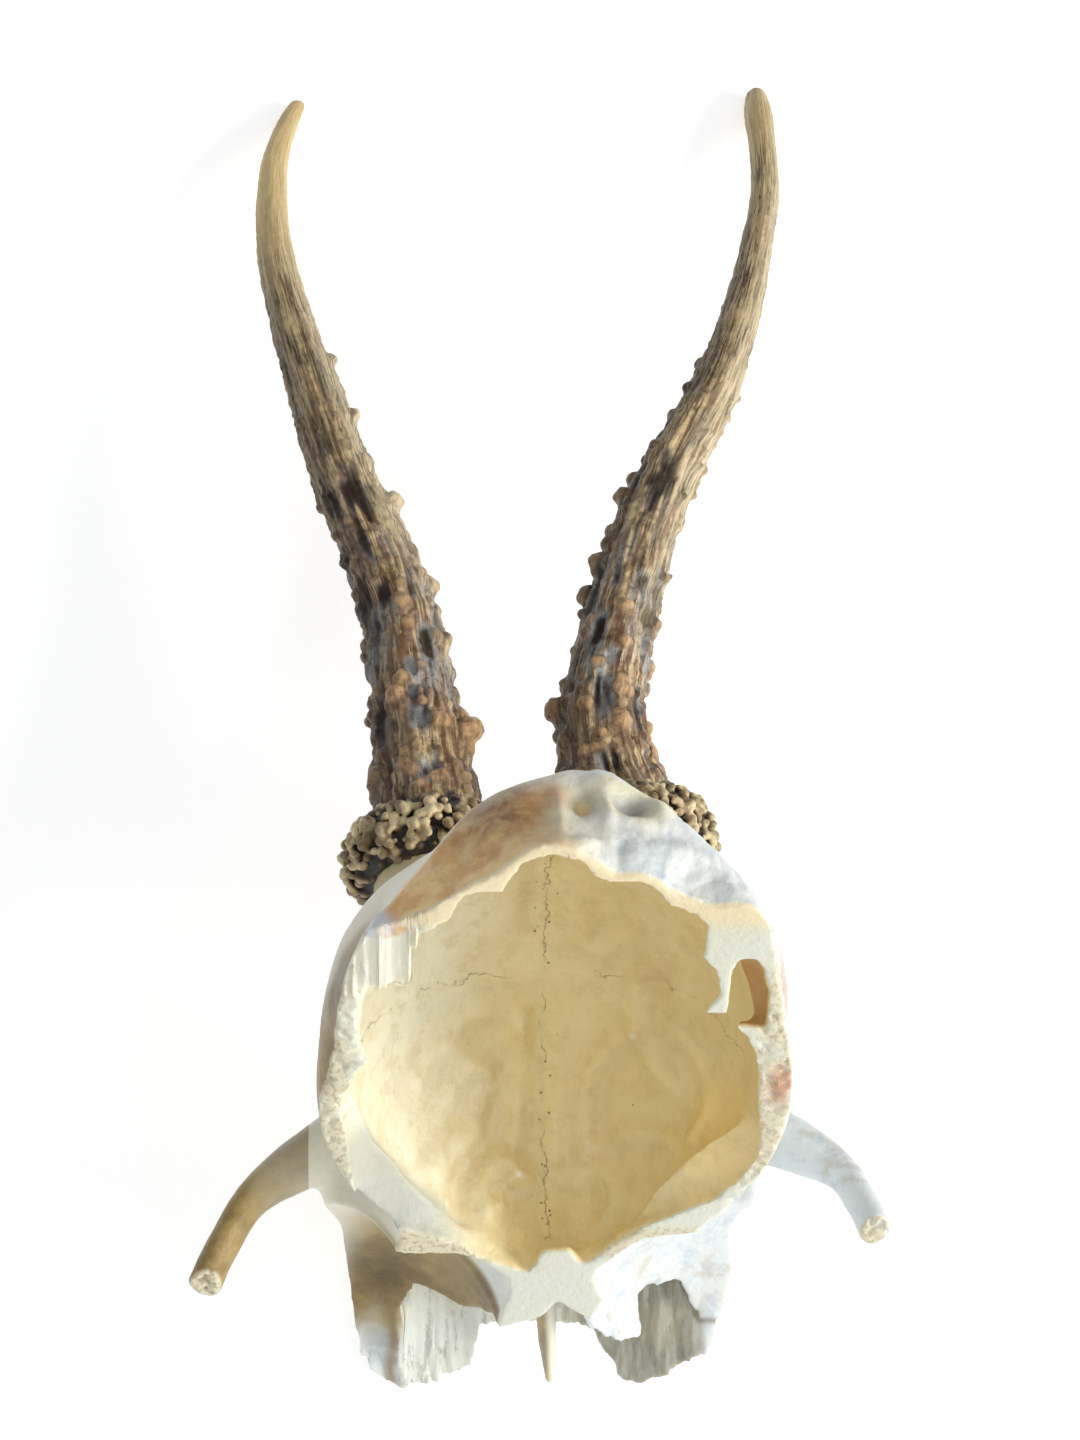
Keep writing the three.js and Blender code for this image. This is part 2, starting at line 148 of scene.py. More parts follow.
# %% Grids
class Grid:
    """A block of evenly spaced sample points, in the skull's axes."""

    def __init__(self, low, high, step):
        self.low = np.array(low, float)
        self.step = step
        self.counts = np.ceil((np.array(high, float) - self.low) / step).astype(int) + 1
        lines = [self.low[i] + step * np.arange(n) for i, n in enumerate(self.counts)]
        spread_out = np.meshgrid(*lines, indexing="ij", sparse=True)
        self.x, self.y, self.z = (g.astype(np.float32) for g in spread_out)

    def true_distance(self, field):
        """Scales a field so that it grows by one for each millimetre."""
        slopes = np.gradient(field, self.step)
        steep = np.sqrt(sum(s * s for s in slopes))
        return field / np.clip(steep, 0.02, None)

    def sample(self, field, points):
        """The field's value at scattered points."""
        place = np.clip((points - self.low) / self.step, 0, self.counts - 1.001)
        cell = place.astype(int)
        t = place - cell
        total = np.zeros(len(points))
        for corner in np.ndindex(2, 2, 2):
            step = np.array(corner)
            share = np.prod(np.where(step == 1, t, 1 - t), axis=1)
            i, j, k = (cell + step).T
            total += share * field[i, j, k]
        return total

    def part(self, centre, reach):
        """The slices of the grid that lie within a distance of a point."""
        low = np.clip(((np.array(centre) - reach - self.low) / self.step).astype(int), 0, self.counts - 1)
        high = np.clip(((np.array(centre) + reach - self.low) / self.step).astype(int) + 2, 1, self.counts)
        return tuple(slice(a, b) for a, b in zip(low, high))

    def away_from(self, centre, region):
        """The distance to a point, within some slices of the grid."""
        i, j, k = region
        dx = self.x[i] - centre[0]
        dy = self.y[:, j] - centre[1]
        dz = self.z[:, :, k] - centre[2]
        return np.sqrt(dx * dx + dy * dy + dz * dz)


def add_ball(grid, field, centre, radius, reach):
    """Melts a ball onto a form."""
    region = grid.part(centre, radius + 2 * reach)
    field[region] = soft_min(field[region], grid.away_from(centre, region) - radius, reach)


trial = Grid((0, 0, 0), (1, 1, 1), 0.25)
print("a 1 mm block sampled every 0.25 mm has", int(np.prod(trial.counts)), "points")

# %% [markdown]
# OpenVDB turns a sampled form into a mesh of four-sided faces. Metaballs or a remesh could do this too, but
# here the step and the surface stay exact. The small steps that the grid leaves are then evened out.

# %% Skins
def skin(grid, field):
    """The surface where a field is zero, as points and four-sided faces that look outwards."""
    volume = vdb.FloatGrid()
    volume.background = 5.0
    volume.copyFromArray(np.ascontiguousarray(field, dtype=np.float32))
    points, quads = volume.convertToQuads(isovalue=0.0)
    points = points * grid.step + grid.low
    quads = quads.astype(np.int64)
    a, b, c = (points[quads[:, i]] for i in range(3))
    if (np.cross(b - a, c - a) * a).sum() < 0:
        quads = quads[:, ::-1]
    return points, quads


def spread(values, index, count):
    return np.bincount(index, weights=values, minlength=count)


def normals_of(points, quads):
    across = points[quads[:, 2]] - points[quads[:, 0]]
    along = points[quads[:, 3]] - points[quads[:, 1]]
    faces = np.cross(across, along)
    total = np.zeros_like(points)
    for corner in range(4):
        for axis in range(3):
            total[:, axis] += spread(faces[:, axis], quads[:, corner], len(points))
    return total / np.clip(np.linalg.norm(total, axis=1, keepdims=True), 1e-9, None)


def relaxed(points, quads, times):
    """Evens out the small steps that the grid leaves."""
    count = len(points)
    for _ in range(times):
        total = np.zeros_like(points)
        links = np.zeros(count)
        for corner in range(4):
            here, there = quads[:, corner], quads[:, (corner + 1) % 4]
            links += spread(np.ones(len(here)), here, count) + spread(np.ones(len(here)), there, count)
            for axis in range(3):
                total[:, axis] += spread(points[there, axis], here, count)
                total[:, axis] += spread(points[here, axis], there, count)
        points = mix(points, total / np.clip(links, 1, None)[:, None], 0.5)
    return points


trial = Grid((-3, -3, -3), (3, 3, 3), 0.5)
trial_points, trial_quads = skin(trial, np.sqrt(trial.x**2 + trial.y**2 + trial.z**2) - 2)
print("a trial ball of 2 mm has", len(trial_quads), "faces")

# %% [markdown]
# A piece is a mesh with its object. It is sawn with a Boolean modifier, whose Manifold solver is exact and
# leaves flat clean faces, as a saw does.

# %% Pieces
def mesh_of(name, points, faces):
    mesh = bpy.data.meshes.new(name)
    size = faces.shape[1]
    mesh.vertices.add(len(points))
    mesh.vertices.foreach_set("co", points.astype(np.float32).ravel())
    mesh.loops.add(faces.size)
    mesh.loops.foreach_set("vertex_index", faces.astype(np.int32).ravel())
    mesh.polygons.add(len(faces))
    mesh.polygons.foreach_set("loop_start", (np.arange(len(faces)) * size).astype(np.int32))
    mesh.update(calc_edges=True)
    mesh.validate()
    return mesh


def new_object(name, mesh):
    made = bpy.data.objects.new(name, mesh)
    bpy.context.scene.collection.objects.link(made)
    return made


def points_of(mesh):
    points = np.empty(len(mesh.vertices) * 3, np.float32)
    mesh.vertices.foreach_get("co", points)
    return points.reshape(-1, 3).astype(float)


def box(low, high):
    """A closed block between two corners."""
    corners = np.array([[(low, high)[(i >> a) & 1][a] for a in range(3)] for i in range(8)], float)
    faces = np.array([[0, 4, 6, 2], [1, 3, 7, 5], [0, 1, 5, 4], [2, 6, 7, 3], [0, 2, 3, 1], [4, 5, 7, 6]])
    return new_object("cutter", mesh_of("cutter", corners, faces))


def sawn(whole, cutter, operation, name):
    """The part of a piece inside a cutter, or what is left without it."""
    step = whole.modifiers.new("saw", "BOOLEAN")
    step.object = cutter
    step.operation = operation
    step.solver = "MANIFOLD"
    ready = whole.evaluated_get(bpy.context.evaluated_depsgraph_get())
    mesh = bpy.data.meshes.new_from_object(ready)
    whole.modifiers.clear()
    return new_object(name, mesh)


def remove(*objects):
    for made in objects:
        mesh = made.data
        bpy.data.objects.remove(made)
        bpy.data.meshes.remove(mesh)


trial_block = box((0, 0, 0), (10, 10, 10))
print("a trial block has", len(trial_block.data.polygons), "faces")
remove(trial_block)

# %% [markdown]
# ## The skull cap
# The braincase is the thin vault over the brain. Its sections are round in front and turn into a low gable at
# the nape. A stretched ball would be too even, so the vault's height, width and roundness each change along
# it. The cavity is a second, smaller vault.

# %% Braincase
CASE = dict(centre_x=0.3, centre_y=-3, half_width=30.2, front=32, back=58, square_front=1.8, square_back=1.75)
CASE.update(top=36.5, drop=21, drop_length=43, round_front=2.2, round_back=1.5, back_shift=1.2)
CAVITY = dict(centre_x=0.3, centre_y=-6, half_width=26.2, front=33.5, back=44)
CAVITY.update(square_front=1.65, square_back=1.7)
CAVITY.update(top=32.5, drop=23, drop_length=41, round_front=2.1, round_back=1.7, back_shift=0)
GABLE = dict(start_y=-15, end_y=-47, seat_front=6, seat_back=-4)
NAPE = dict(y=-47, bulge=0.0165, lean=0.06)
NAPE_INSIDE = dict(y=-44.8, bulge=0.023, lean=0.06)


def vault(form, x, y, z):
    """Below zero inside the vault."""
    from_centre = y - form["centre_y"]
    ahead = from_centre > 0
    share = np.minimum(np.abs(from_centre) / np.where(ahead, form["front"], form["back"]), 3)
    gable = ramp(GABLE["start_y"], GABLE["end_y"], y)
    seat = mix(GABLE["seat_front"], GABLE["seat_back"], gable)
    behind = np.minimum(1, np.maximum(0, -from_centre) / form["drop_length"])
    rise = form["top"] - form["drop"] * behind**1.8 - seat
    power = mix(form["round_front"], form["round_back"], gable)
    kept = np.minimum(share, 0.985)
    side = np.where(ahead, 1, (1 - kept ** form["square_back"]) ** (1 / form["square_back"]))
    crown = np.where(ahead, 1, (1 - kept**8) ** (1 / 8))
    # Towards the back, the right wall stands further out and the left wall further in.
    shift = np.where(x > 0, ramp(-15, -36, y), 1.5 * ramp(-19, -30, y) * ramp(1.5, 6, z))
    middle = form["centre_x"] + form["back_shift"] * shift
    across = np.abs(x - middle) / (form["half_width"] * side)
    up = np.abs(z - seat) / (rise * crown)
    section = (across**power + up**power) ** (1 / power)
    square = form["square_front"]
    return np.where(ahead, (section**square + share**square) ** (1 / square), section) - 1


def behind_nape(face, x, y, z):
    """Above zero behind a neck face."""
    slope = np.sqrt(1 + (2 * face["bulge"] * x) ** 2)
    return (face["y"] + face["bulge"] * x * x + face["lean"] * z - y) / slope


print("braincase", 2 * CASE["half_width"], "mm wide,", CASE["top"], "mm above the cut")

# %% [markdown]
# The forehead is a thick block between the eye sockets. It ends in two lobes with a notch between them, and
# the skull rests on the lobes. A box with soft edges would look like a box, so the block has a height, a half
# width and an end that each follow their own rule.

# %% Brow
BROW = dict(top=37.5, top_y=13, soft=12, slope=0.45, half_width=26.8, flare=4, flare_y=27, start_y=-4)
BROW.update(waist_y=40, fall=7, fall_x=28, growth_back=0.0148, growth_left=0.006, growth_right=0.009)
BROW.update(temple=5, foot=0.66, foot_height=18, narrow_y=45, narrow_left=0.002, end_left=-0.7, end_right=1.7)
NOTCH_Y = 60
LOBE = dict(reach_left=7.6, reach_right=6.4, inner_x=7.5, outer_left=9.5, outer_right=13.5)
LOBE.update(corner_x=19, corner=0.5)
LOBE.update(undercut=0.1, undercut_height=13, slant_x=15.5, slant_left=0.0, slant_right=0.7)


def brow_height(x, y):
    ridge = BROW["top"] - BROW["slope"] * (np.hypot(y - BROW["top_y"], BROW["soft"]) - BROW["soft"])
    growth = np.where(x < 0, BROW["growth_left"], BROW["growth_right"])
    growth = np.where(y > BROW["waist_y"], growth, BROW["growth_back"])
    fall = BROW["fall"] + growth * (y - BROW["waist_y"]) ** 2
    return ridge - fall * (x / BROW["fall_x"]) ** 2


def brow_half_width(x, y, z):
    flare = BROW["flare"] * bump(y, BROW["flare_y"], 7)
    temple = BROW["temple"] * (1 - ramp(0, 22, y))
    narrowing = np.where(x > 0, 0, BROW["narrow_left"]) * np.maximum(0, y - BROW["narrow_y"]) ** 2
    top = BROW["half_width"] + flare - temple - narrowing
    top = top + np.where(x > 0, BROW["end_right"], BROW["end_left"]) * ramp(36, 54, y)
    foot = mix(BROW["foot"], 1, ramp(22, 36, y))
    return top * mix(foot, 1, np.clip(z / BROW["foot_height"], 0, 1))


def brow_end(x, z):
    across = np.abs(x)
    outer = np.where(x < 0, LOBE["outer_left"], LOBE["outer_right"])
    reach = np.where(x < 0, LOBE["reach_left"], LOBE["reach_right"])
    lobe = reach * ramp(LOBE["inner_x"], outer, across)
    slope = np.where(x < 0, LOBE["slant_left"], LOBE["slant_right"])
    slant = slope * np.maximum(0, across - LOBE["slant_x"])
    corner = LOBE["corner"] * ramp(LOBE["corner_x"], LOBE["corner_x"] + 6, across)
    undercut = LOBE["undercut"] * np.maximum(0, LOBE["undercut_height"] - z) ** 2
    return NOTCH_Y + lobe - corner - slant - undercut


def brow(x, y, z):
    """Below zero inside the forehead's block."""
    top = (z - brow_height(x, y)) / 1.15
    side = (np.abs(x) - brow_half_width(x, y, z)) / 1.1
    end = (y - brow_end(x, z)) / 1.3
    back = BROW["start_y"] - y
    return soft_max(soft_max(soft_max(top, side, 3), end, 0.8), back, 3)


print("brow", 2 * BROW["half_width"], "mm wide")
print("lobes", LOBE["reach_left"], "and", LOBE["reach_right"], "mm long")

# %% [markdown]
# The eye sockets are egg-shaped hollows, and behind the lobes the bone is hollow too. Each is a form of its
# own that is taken out of the block.

# %% Hollows
SOCKET = dict(centre=(30.5, 43.5, -1), radii=(25, 22.5, 18.6))
SINUS = dict(half_left=19, half_right=24, start_y=41, side_start_y=47, roof=3.2, roof_right=2.2)


def socket(side, x, y, z):
    offsets = (x - side * SOCKET["centre"][0], y - SOCKET["centre"][1], z - SOCKET["centre"][2])
    reach = np.sqrt(sum((o / r) ** 2 for o, r in zip(offsets, SOCKET["radii"])))
    return (reach - 1) * 20


def sinus_roof(x, y):
    return brow_height(x, y) - mix(SINUS["roof"], SINUS["roof_right"], ramp(17, 21, x))


def sinus(x, y, z):
    across = np.abs(x)
    start = mix(SINUS["start_y"], SINUS["side_start_y"], ramp(5, 11, across))
    side = np.where(x < 0, SINUS["half_left"], SINUS["half_right"])
    return np.maximum(np.maximum(across - side, start - y), z - sinus_roof(x, y))


print("eye sockets", 2 * SOCKET["radii"][0], "mm across")

# %% [markdown]
# The bars behind the eyes are flat straps that bend down to the saw cut. A curve with a bevel would give a
# round tube of even width, so a strap is a row of flattened balls that melt together.

# %% Bars
BARS = {
    -1: [(-25.5, 22.5, 20.5), (-37.6, 24.4, 12), (-42.4, 27, 5), (-45, 30.3, 0.8)],
    1: [(27, 20.5, 20.5), (38.4, 19.6, 11.5), (41.8, 20, 5.5), (43.2, 20.2, 0.8)],
}
BAR_RADIUS = dict(root=5.2, middle=3.1, tip=2.9, flatten=0.72)
BAR_CUT_X = 31.4
BAR_CUT_Y = 10


def catmull(points, count):
    """Points along a smooth curve through a few named points."""
    points = np.array(points, float)
    padded = np.vstack([2 * points[0] - points[1], points, 2 * points[-1] - points[-2]])
    made = []
    for share in np.linspace(0, len(points) - 1, count):
        i = min(int(share), len(points) - 2)
        t = share - i
        p0, p1, p2, p3 = padded[i : i + 4]
        bend = 2 * p1 + (p2 - p0) * t
        bend = bend + (2 * p0 - 5 * p1 + 4 * p2 - p3) * t**2
        bend = bend + (3 * p1 - p0 - 3 * p2 + p3) * t**3
        made.append(bend / 2)
    return np.array(made)


def strap(grid, line, radii, forward, flatten, region=None):
    """The field of a strap along a line, flattened across the forward direction."""
    if region is None:
        region = tuple(slice(0, n) for n in grid.counts)
    i, j, k = region
    x, y, z = grid.x[i], grid.y[:, j], grid.z[:, :, k]
    best = None
    along = np.gradient(line, axis=0)
    along /= np.linalg.norm(along, axis=1, keepdims=True)
    for place, direction, radius in zip(line, along, radii):
        wide = np.array(forward) - direction * np.dot(forward, direction)
        wide /= np.linalg.norm(wide)
        thin = np.cross(wide, direction)
        dx, dy, dz = x - place[0], y - place[1], z - place[2]
        a = (dx * wide[0] + dy * wide[1] + dz * wide[2]) / radius
        b = (dx * thin[0] + dy * thin[1] + dz * thin[2]) / (radius * flatten)
        c = (dx * direction[0] + dy * direction[1] + dz * direction[2]) / (radius * 0.5)
        field = (np.sqrt(a * a + b * b + c * c) - 1) * radius * flatten
        best = field if best is None else np.minimum(best, field)
    return best


print("bars", 2 * BAR_RADIUS["middle"], "mm wide in the middle")

# %% [markdown]
# The rim of the opening isn't a clean oval: the saw left thicker and thinner places, and a shelf of the ear
# bone at each back corner. The rim is two outlines on the saw cut, the inner and the outer edge of the cut
# face. The third outline is the inner edge of the ledge above them.

# %% The opening's rim
OPENING = [
    (-3.1, -46.8), (-0.9, -46.8), (1.9, -45.7), (3.2, -43.8), (5.8, -42.3), (8.1, -42.8), (10.3, -41.8),
    (11.6, -40.4), (12.5, -38.7), (14.4, -37.9), (16.0, -37.1), (17.2, -35.2), (17.2, -32.1), (16.9, -30.2),
    (18.4, -28.7), (19.4, -26.0), (19.5, -23.9), (18.0, -20.8), (20.7, -20.3), (21.0, -23.1), (20.9, -26.8),
    (21.3, -29.5), (23.3, -30.2), (24.5, -28.2), (25.7, -23.6), (25.7, -17.8), (22.0, -18.4), (23.5, -16.1),
    (24.7, -13.4), (25.3, -10.4), (25.6, -6.6), (26.4, 0.8), (26.6, 5.5), (24.3, 9.9), (21.5, 13.5),
    (16.5, 16.4), (12.7, 18.7), (9.3, 21.6), (7.2, 24.2), (4.8, 26.3), (3.1, 23.3), (-0.9, 23.5),
    (-1.3, 26.3), (-2.6, 27.5), (-5.8, 26.2), (-8.2, 25.0), (-11.1, 22.5), (-15.3, 20.1), (-20.8, 18.1),
    (-23.1, 16.5), (-24.7, 13.3), (-25.7, 6.5), (-26.2, 0.5), (-26.9, -3.9), (-26.1, -7.0), (-24.9, -9.9),
    (-23.2, -12.9), (-24.3, -14.7), (-24.7, -21.1), (-24.1, -24.7), (-21.7, -24.5), (-20.4, -25.6),
    (-19.2, -25.0), (-17.8, -26.2), (-17.9, -30.1), (-17.1, -33.8), (-15.1, -35.4), (-13.4, -37.0),
    (-12.1, -40.3), (-10.7, -40.9), (-7.4, -41.2), (-6.4, -43.5), (-4.8, -45.7),
]
OUTER = [
    (-24.6, -34.3), (-25.7, -31.0), (-26.4, -25.1),
    (-26.8, -21.7), (-27.1, -14.7), (-28.3, -8.5), (-29.5, -5.8),
    (-29.4, 0.4), (-28.5, 4.2), (-27.6, 7.6), (-27.4, 9.9), (-24.4, 13.7), (-23.1, 16.9), (-21.1, 18.1),
    (-20.3, 20.0), (-21.1, 23.6), (-19.5, 23.4), (-15.3, 23.3), (-11.4, 23.5), (-8.2, 25.0), (-4.7, 28.2),
    (-4.1, 31.1), (-4.8, 34.2), (-5.9, 38.7), (-3.1, 37.7),
    (-0.4, 36.5), (1.6, 33.2), (2.4, 33.6), (4.2, 35.3),
    (6.3, 37.0), (8.5, 40.0), (10.6, 42.1), (12.8, 41.7),
    (12.1, 38.6), (7.5, 33.3), (6.1, 29.6), (6.5, 27.2),
    (8.5, 24.8), (10.5, 22.6), (12.8, 20.7), (16.3, 20.1),
    (19.7, 19.8), (21.8, 17.8), (24.3, 15.1), (26.2, 11.2),
    (27.4, 7.4), (28.6, 3.8), (29.3, -1.2), (29.5, -2.9), (29.7, -8.9), (29.2, -13.9), (27.7, -17.8),
    (26.7, -23.5), (25.5, -30.7), (24.7, -36.0), (23.3, -38.7), (20.0, -38.4), (17.5, -38.2), (15.0, -38.9),
    (13.0, -39.9), (11.2, -42.1), (8.4, -43.5), (5.8, -43.2), (3.4, -45.0), (0.8, -47.2), (-3.2, -48.3),
    (-5.6, -46.6), (-8.2, -43.9), (-13.3, -40.4), (-16.8, -37.6), (-21.1, -35.2),
]
LEDGE = [
    (-26.5, -6), (-24.2, -0.2), (-22.4, 5.5), (-19.5, 9.7),
    (-17.2, 14.7), (-14.2, 19.2), (-11, 23), (-6, 28),
    (0, 31), (8, 29), (11.2, 23.1), (12.5, 19.9),
    (13.7, 16.2), (15.6, 12.9), (17.9, 9.3), (20.4, 6.1), (27, 0),
    (30, -10), (30, -60), (-30, -60), (-30, -10),
]
LEDGE_Z = 3.5


def outline_distance(outline, x, y):
    """The distance to a closed outline on the saw cut, below zero inside it."""
    corners = np.array(outline, float)
    nearest = np.full(np.broadcast(x, y).shape, 1e9)
    crossings = np.zeros(nearest.shape, int)
    for (ax, ay), (bx, by) in zip(corners, np.roll(corners, -1, axis=0)):
        dx, dy = bx - ax, by - ay
        along = np.clip(((x - ax) * dx + (y - ay) * dy) / (dx * dx + dy * dy), 0, 1)
        nearest = np.minimum(nearest, np.hypot(x - ax - along * dx, y - ay - along * dy))
        if dy != 0:
            crossings += ((ay > y) != (by > y)) & (x < ax + dx * (y - ay) / dy)
    return np.where(crossings % 2 == 1, -nearest, nearest)


def ragged(place, fine=1.0):
    """A broken edge's ups and downs along it."""
    slow = 0.5 * np.sin(1.7 * place + 1) + 0.35 * np.sin(3.9 * place)
    return slow + fine * (0.3 * np.sin(7.3 * place + 2) + 0.2 * np.sin(13.1 * place))


print("rim outlines with", len(OPENING), "and", len(OUTER), "points, ledge with", len(LEDGE))

# %% [markdown]
# In front, the wall has a ledge a little above the saw cut: a white slope that runs in from the rim. Outside,
# the wall swells out above the cut, so the cut face stays narrow, but at the left back corner it hardly does.

# %% Braincase with its opening
STEP = 0.4
cap = Grid((-49, -54, -1.2), (47, 69.2, 40), STEP)
x, y, z = cap.x, cap.y, cap.z
print("cap grid of", "x".join(str(n) for n in cap.counts), "samples")

crest_lift = 1.3 * bump(x, 7, 6) * ramp(-30, -44, y) + 0.9 * ramp(-36, -46, y)
crest_lift = crest_lift + (0.6 * ramp(7, 14, x) + 2.6 * bump(x, -11, 6)) * ramp(-32, -44, y)
case_field = cap.true_distance(vault(CASE, x, y, z - crest_lift))
nape_field = behind_nape(NAPE, x, y, z) - 2.2 * bump(x, -1, 9) * np.exp(-np.maximum(z, 0) / 3)
case_field = soft_max(case_field, nape_field, 1.2)

hollow = cap.true_distance(vault(CAVITY, x, y, z))
hollow = soft_max(hollow, behind_nape(NAPE_INSIDE, x, y, z), 3.0)
ledge_gap = np.where(z < LEDGE_Z, 1.5 * (LEDGE_Z - z), 1.3 * (z - LEDGE_Z))
hollow = soft_max(hollow, outline_distance(LEDGE, x, y) - ledge_gap, 0.9)
opening = outline_distance(OPENING, x, y) + 0.12 * ragged(x) + 0.12 * ragged(y)
hollow = mix(hollow, opening, 1 - ramp(0.4, 4.2, z)).astype(np.float32)

RIM = dict(room=0.5, room_above=0.35, above_z=4, left_back=0.1, trim=0.3, slope=1.2)
rim_room = RIM["room"] * np.maximum(z, 0) + RIM["room_above"] * np.maximum(z - RIM["above_z"], 0) ** 2
left_back = ramp(-13, -23, y) * ramp(0, -10, x) * (1 - ramp(9, 16, z))
rim_room = rim_room * mix(1, RIM["left_back"], left_back)
rim_distance = outline_distance(OUTER, x, y) + 0.12 * ragged(1.3 * x + y)
rim_field = (rim_distance - RIM["trim"] - rim_room) / RIM["slope"]
behind_field = np.where(y < -33, np.maximum(nape_field, rim_field), nape_field).astype(np.float32)
hollow_levels = cap.z[0, 0][hollow.min((0, 1)) < 0]
print("the hollow reaches", round(float(hollow_levels.max()), 1), "mm above the cut")

# %% [markdown]
# A thin plate of bone roofs each eye socket. On the left it is broken off along a curve, and on the right it
# reaches further forward round a jagged hole. Behind both plates the brow is hollow. The plates could be
# solidified sheets, but a shell of the socket's own form always fits the socket.

# %% Sockets and hollow brow
PLATE = 1.1
LEFT_PLATE_END = [(0, 42), (6, 43), (9, 43.6), (11, 44.1), (13, 44.6), (15, 45.4), (17, 47.2), (18.2, 49.8)]
LEFT_PLATE_END += [(19.3, 52.3), (22, 54.5), (25, 56.5)]
RIGHT_HOLE = [
    (15.4, 45.7), (16.2, 47.2), (17.1, 48.1), (18.2, 47.7),
    (19.5, 47.7), (20.4, 48.4), (21.1, 50.4), (21.5, 51.8),
    (22.8, 53.7), (23.5, 55.2), (24.6, 54.9), (27.4, 55.8), (27.4, 75), (5, 75), (7.5, 47.2), (9.7, 50.9),
    (10.7, 51.9), (12.3, 53.3), (14.8, 54.1), (14.6, 51.5), (14.1, 48.9), (14.2, 47.6), (14.9, 47.2),
]

solid = soft_min(case_field, brow(x, y, z) + 0.25 * ragged(1.3 * x) * ramp(50, 58, y), 2.5)
outer = solid.copy()
for side in (-1, 1):
    solid = soft_max(solid, -socket(side, x, y, z), 0.6)
solid = soft_max(solid, -sinus(x, y, z), 0.6)

left_end = y - np.interp(-x, *np.array(LEFT_PLATE_END, float).T) - 0.25 * ragged(x)
right_end = -(outline_distance(RIGHT_HOLE, x, y) + 0.2 * ragged(x + 0.7 * y))
for side, end in ((-1, left_end), (1, right_end)):
    plate = np.abs(socket(side, x, y, z) - PLATE / 2) - PLATE / 2
    plate = np.maximum(np.maximum(plate, end), np.maximum(outer, 4 - side * x))
    solid = soft_min(solid, plate, 0.3)
solid = soft_max(solid, rim_field, 0.5)
print("plates over the sockets", PLATE, "mm thick")

# %% [markdown]
# Last, the bars melt into the brow, the braincase is hollowed, and the saw cut and the floor cut the cap off
# flat. One mesh is made of it all, so no seam shows where the forms meet.

# %% Bars and the closed cap
for side, named in BARS.items():
    line = catmull(named, 44)
    share = np.linspace(0, 1, 44)
    flare = (BAR_RADIUS["root"] - BAR_RADIUS["middle"]) * (1 - ramp(0, 0.45, share))
    radii = mix(BAR_RADIUS["middle"], BAR_RADIUS["tip"], share) + flare
    low, high = line.min(0) - 8, line.max(0) + 8
    region = cap.part((low + high) / 2, (high - low) / 2)
    bar = strap(cap, line, radii, (0, 1, 0), BAR_RADIUS["flatten"], region)
    solid[region] = soft_min(solid[region], bar, 2.2)

solid = soft_max(solid, -hollow, 0.5)
floor_plane = (y - LOBE_TOUCH["y"]) * math.cos(LEAN) + (z - LOBE_TOUCH["z"]) * math.sin(LEAN)
solid = np.maximum(np.maximum(solid, floor_plane), -z)
del outer, floor_plane, plate

points, quads = skin(cap, solid)
points = relaxed(points, quads, 2)
print("cap skin:", len(points), "points")

# %% [markdown]
# ## Relief
# The brain left low folds on the inner face of the bone. They could be sculpted with a brush, but a fold is
# simple: a line with a height and a width. A fold with a height below zero is a groove.

